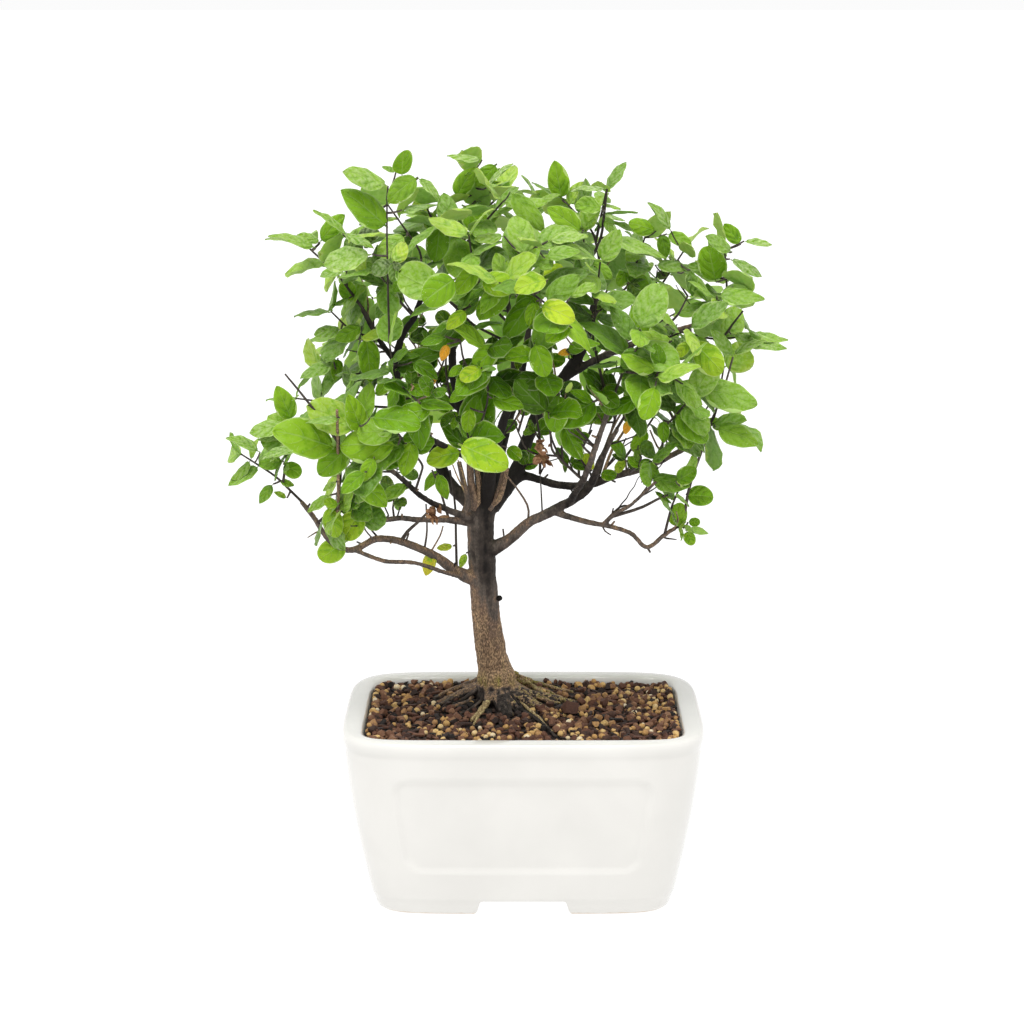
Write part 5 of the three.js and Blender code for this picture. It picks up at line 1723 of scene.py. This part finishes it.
def dryBunch(x, y, size, seed):  # clings to a twig
    draw = random.Random(seed)
    foot = nearestWood(x, y)
    middle = placeAt(x, y, foot.y - 5)
    pieces = [barkTube([foot, foot.lerp(middle, 0.5) + Vector((0, 0, 1)), middle], [0.5, 0.4, 0.35], 5, 0.3)]
    for _ in range(18):
        along = drawVector(draw).normalized()
        length = draw.uniform(0.25, 0.62) * size
        base = middle + drawVector(draw, (0, 1), (0, 1), (0, 0.6)) * 0.22 * size
        pose = {"base": base, "along": along, "normal": along.orthogonal().normalized(), "length": length}
        husk = leafAt(pose, 3, 0, {"arch": 0.5, "droop": 1.5, "dome": 0.3, "twist": 1.5, "sickle": 0.2})
        coat(husk, husks)
        pieces.append(husk)
    return pieces


def buildFrontSprays(draw):
    pieces = growBareStems()
    kept = 0
    for spot in frontLeaves:
        foot = nearestWood(*spot[:2])
        pose, manner, isFree = frontPose(spot, foot, draw)
        base = pose["base"]
        reach = (base - foot).length
        if not isFree or reach > frontSpray["reach"]:
            continue
        kept += 1
        space.add(pose)
        frontSeen.extend(bladeCorner(pose, u, 0) for u in (0.3, 0.6, 0.85))
        kind, tone = spot[5:]
        # Painted light: the darker front leaves get lighter towards the crown's outside.
        tone += 0.1 * outwardness(base) * (tone < 0.5)
        pieces.append(leafAt(pose, len(leafKinds) + kind, tone, manner))
        if reach > 1:
            middle = foot.lerp(base, 0.55) - Vector((0, 0, 0.08)) * reach
            path = [foot, foot.lerp(middle, 0.6), middle.lerp(base, 0.5), base]
            pieces.append(barkTube(path, frontSpray["radii"], 5, frontSpray["tone"]))
    for bunch in dryBunches:
        pieces += dryBunch(*bunch)
    finishPiece(joinPieces(pieces, "front_sprays"), "leaf", angle=80)
    print("front sprays made", kept, "of", len(frontLeaves))


bareTwig = {"seed": 3, "count": 150, "stubs": 60, "inCrown": 14, "bow": 0.55, "rise": 0.1}


def crookedTube(place, heading, length, radii, seed, tone):  # a bare twig that bends as it grows
    places = [place]
    steps = max(int(length / 3), 2)
    heading = heading.normalized()
    for i in range(steps):
        kink = noise.noise_vector(Vector((seed * 3.1, i * 0.9, 4.2))) * bareTwig["bow"]
        heading = (heading + kink + Vector((0, 0, bareTwig["rise"]))).normalized()
        places.append(places[-1] + heading * (length / steps))
    return barkTube(places, taper(*radii, steps), 5, tone)


def buildBareTwigs():
    draw = random.Random(bareTwig["seed"])
    names = [name for name in limbs if "loop" not in name]
    lengths = [WoodCurve(limbs[name]).length() for name in names]
    pieces = []
    for i in range(bareTwig["count"] + bareTwig["stubs"]):
        isStub = i >= bareTwig["count"]
        curve = WoodCurve(limbs[draw.choices(names, lengths)[0]])
        t = draw.uniform(0.12, 0.97)
        place = curve.at(t)
        along = directionAt(curve, t)
        side = squareTo(drawVector(draw, (0, 1), (0, 1), (0.5, 0.8)), along)
        heading = side + along * draw.uniform(0.1, 0.9)
        length = draw.uniform(1.2, 3.2) + curve.radiusAt(t) if isStub else draw.uniform(9, 26)
        end = place + heading.normalized() * length
        if not isStub and leafPlaces.find(end)[2] > bareTwig["inCrown"]:
            continue
        radii = (0.55, 0.4) if isStub else (draw.uniform(0.38, 0.6), 0.22)
        tone = draw.choice([0.12, 0.2, 0.3, 0.3, 0.55])
        pieces.append(crookedTube(place, heading, length, radii, i, tone))
    finishPiece(joinPieces(pieces, "bare_twigs"), "bark")
    print("bare twigs made", len(pieces))


# Parts of the view behind which small leafy twigs fill the crown: left, top, right, bottom, how many.
innerParts = [
    (386, 284, 468, 352, 15), (395, 345, 500, 445, 20), (500, 330, 570, 400, 14), (505, 392, 655, 462, 22),
    (350, 210, 560, 290, 10), (560, 250, 680, 390, 14), (372, 455, 405, 510, 4),
]
innerTwig = {"seed": 21, "reach": 26, "tries": 6, "radii": [0.5, 0.42, 0.34, 0.26]}


def buildInnerTwigs():
    draw = random.Random(innerTwig["seed"])
    pieces = []
    for left, top, right, bottom in [part[:4] for part in innerParts for _ in range(part[4])]:
        x, y = draw.uniform(left, right), draw.uniform(top, bottom)
        foot = nearestWood(x, y + draw.uniform(6, 24), draw.choice([-0.05, 0.02]))
        tip = placeAt(x, y, foot.y + draw.uniform(-7, 7))
        if (tip - foot).length > innerTwig["reach"]:
            continue
        sway = drawVector(draw) * 1.2
        path = [foot, foot.lerp(tip, 0.35) + sway, foot.lerp(tip, 0.7) - sway * 0.3, tip]
        for _ in range(draw.randint(1, 4)):
            base = draw.choice([path[2], tip, tip, path[2].lerp(tip, 0.5)])
            for _ in range(innerTwig["tries"]):
                along = drawVector(draw, (0, 1), (0, 0.6), (0.1, 0.8)).normalized()
                normal = squareTo(drawVector(draw, (0, 0.4), (-0.8, 0.5), (0.7, 0.4)), along)
                pose = {"base": base, "along": along, "normal": normal, "length": draw.uniform(5, 10.5)}
                if isPlaceable(pose):
                    space.add(pose)
                    # Painted shade: most leaves deep inside the crown get dark tones.
                    tone = clamp(draw.gauss(0.18, 0.13), 0.02, 0.6) if draw.random() < 0.94 else 0.72
                    pieces.append(leafAt(pose, draw.choice([0, 1, 3, 3]), tone, randomManner(draw)))
                    break
        pieces.append(barkTube(path, innerTwig["radii"], 5, draw.choice([0.1, 0.2, 0.3, 0.5, 0.62])))
    finishPiece(joinPieces(pieces, "inner_twigs"), "leaf", angle=80)
    print("inner twigs made", len(pieces))


def buildShoots(draw):
    leavesOf = {}
    for pose, pair, index in packed + extra:
        # Leaves at a stem's tip are the youngest and brightest, and those behind are older and darker. Leaves
        # deep inside the crown also get darker tones (painted shade) and those at its outside lighter ones
        # (painted light).
        age = min(pair / 2.5, 1)
        tone = clamp(draw.gauss(0.13 + 0.47 * outwardness(pose["base"]) - 0.18 * age, 0.12), 0.03, 0.68)
        kind = draw.choices([0, 1, 2, 3], [4, 3, 3, 1])[0]
        leaf = leafAt(pose, kind, tone, randomManner(draw))
        leavesOf.setdefault(stems[index]["shoot"], []).append(leaf)
    for shoot, (limb, at, *_) in enumerate(shoots):
        foot = rodPoint(WoodCurve(limbs[limb]), at, len(limbs[limb]) - 1)
        own = [stem for stem in stems if stem["shoot"] == shoot]
        pieces = [stemTube(stem["curve"], None if stem["fork"] else foot) for stem in own]
        number = "%02d" % (shoot + 1)
        piece = joinPieces(pieces + leavesOf.get(shoot, []), "leafy_shoot_" + number)
        finishPiece(piece, "leaf", "shoot_" + number, angle=80)
    print("shoots made", len(shoots))


stems = findStems()
space = LeafSpace()
frontSeen = []  # places on the front leaves
packed = placePackedLeaves()
woodPoints = pointsOnWood()
draw = random.Random(frontSpray["seed"])
buildFrontSprays(draw)
leafPlaces = pointTree([bladeCorner(pose, u, 0) for pose, _, _ in packed for u in (0.3, 0.65, 1)])
buildBareTwigs()
extra = placeExtraLeaves()
print("leaves placed", len(packed), len(extra))
buildInnerTwigs()
buildShoots(draw)
for leaf in leafShapes:
    bpy.data.objects.remove(leaf)
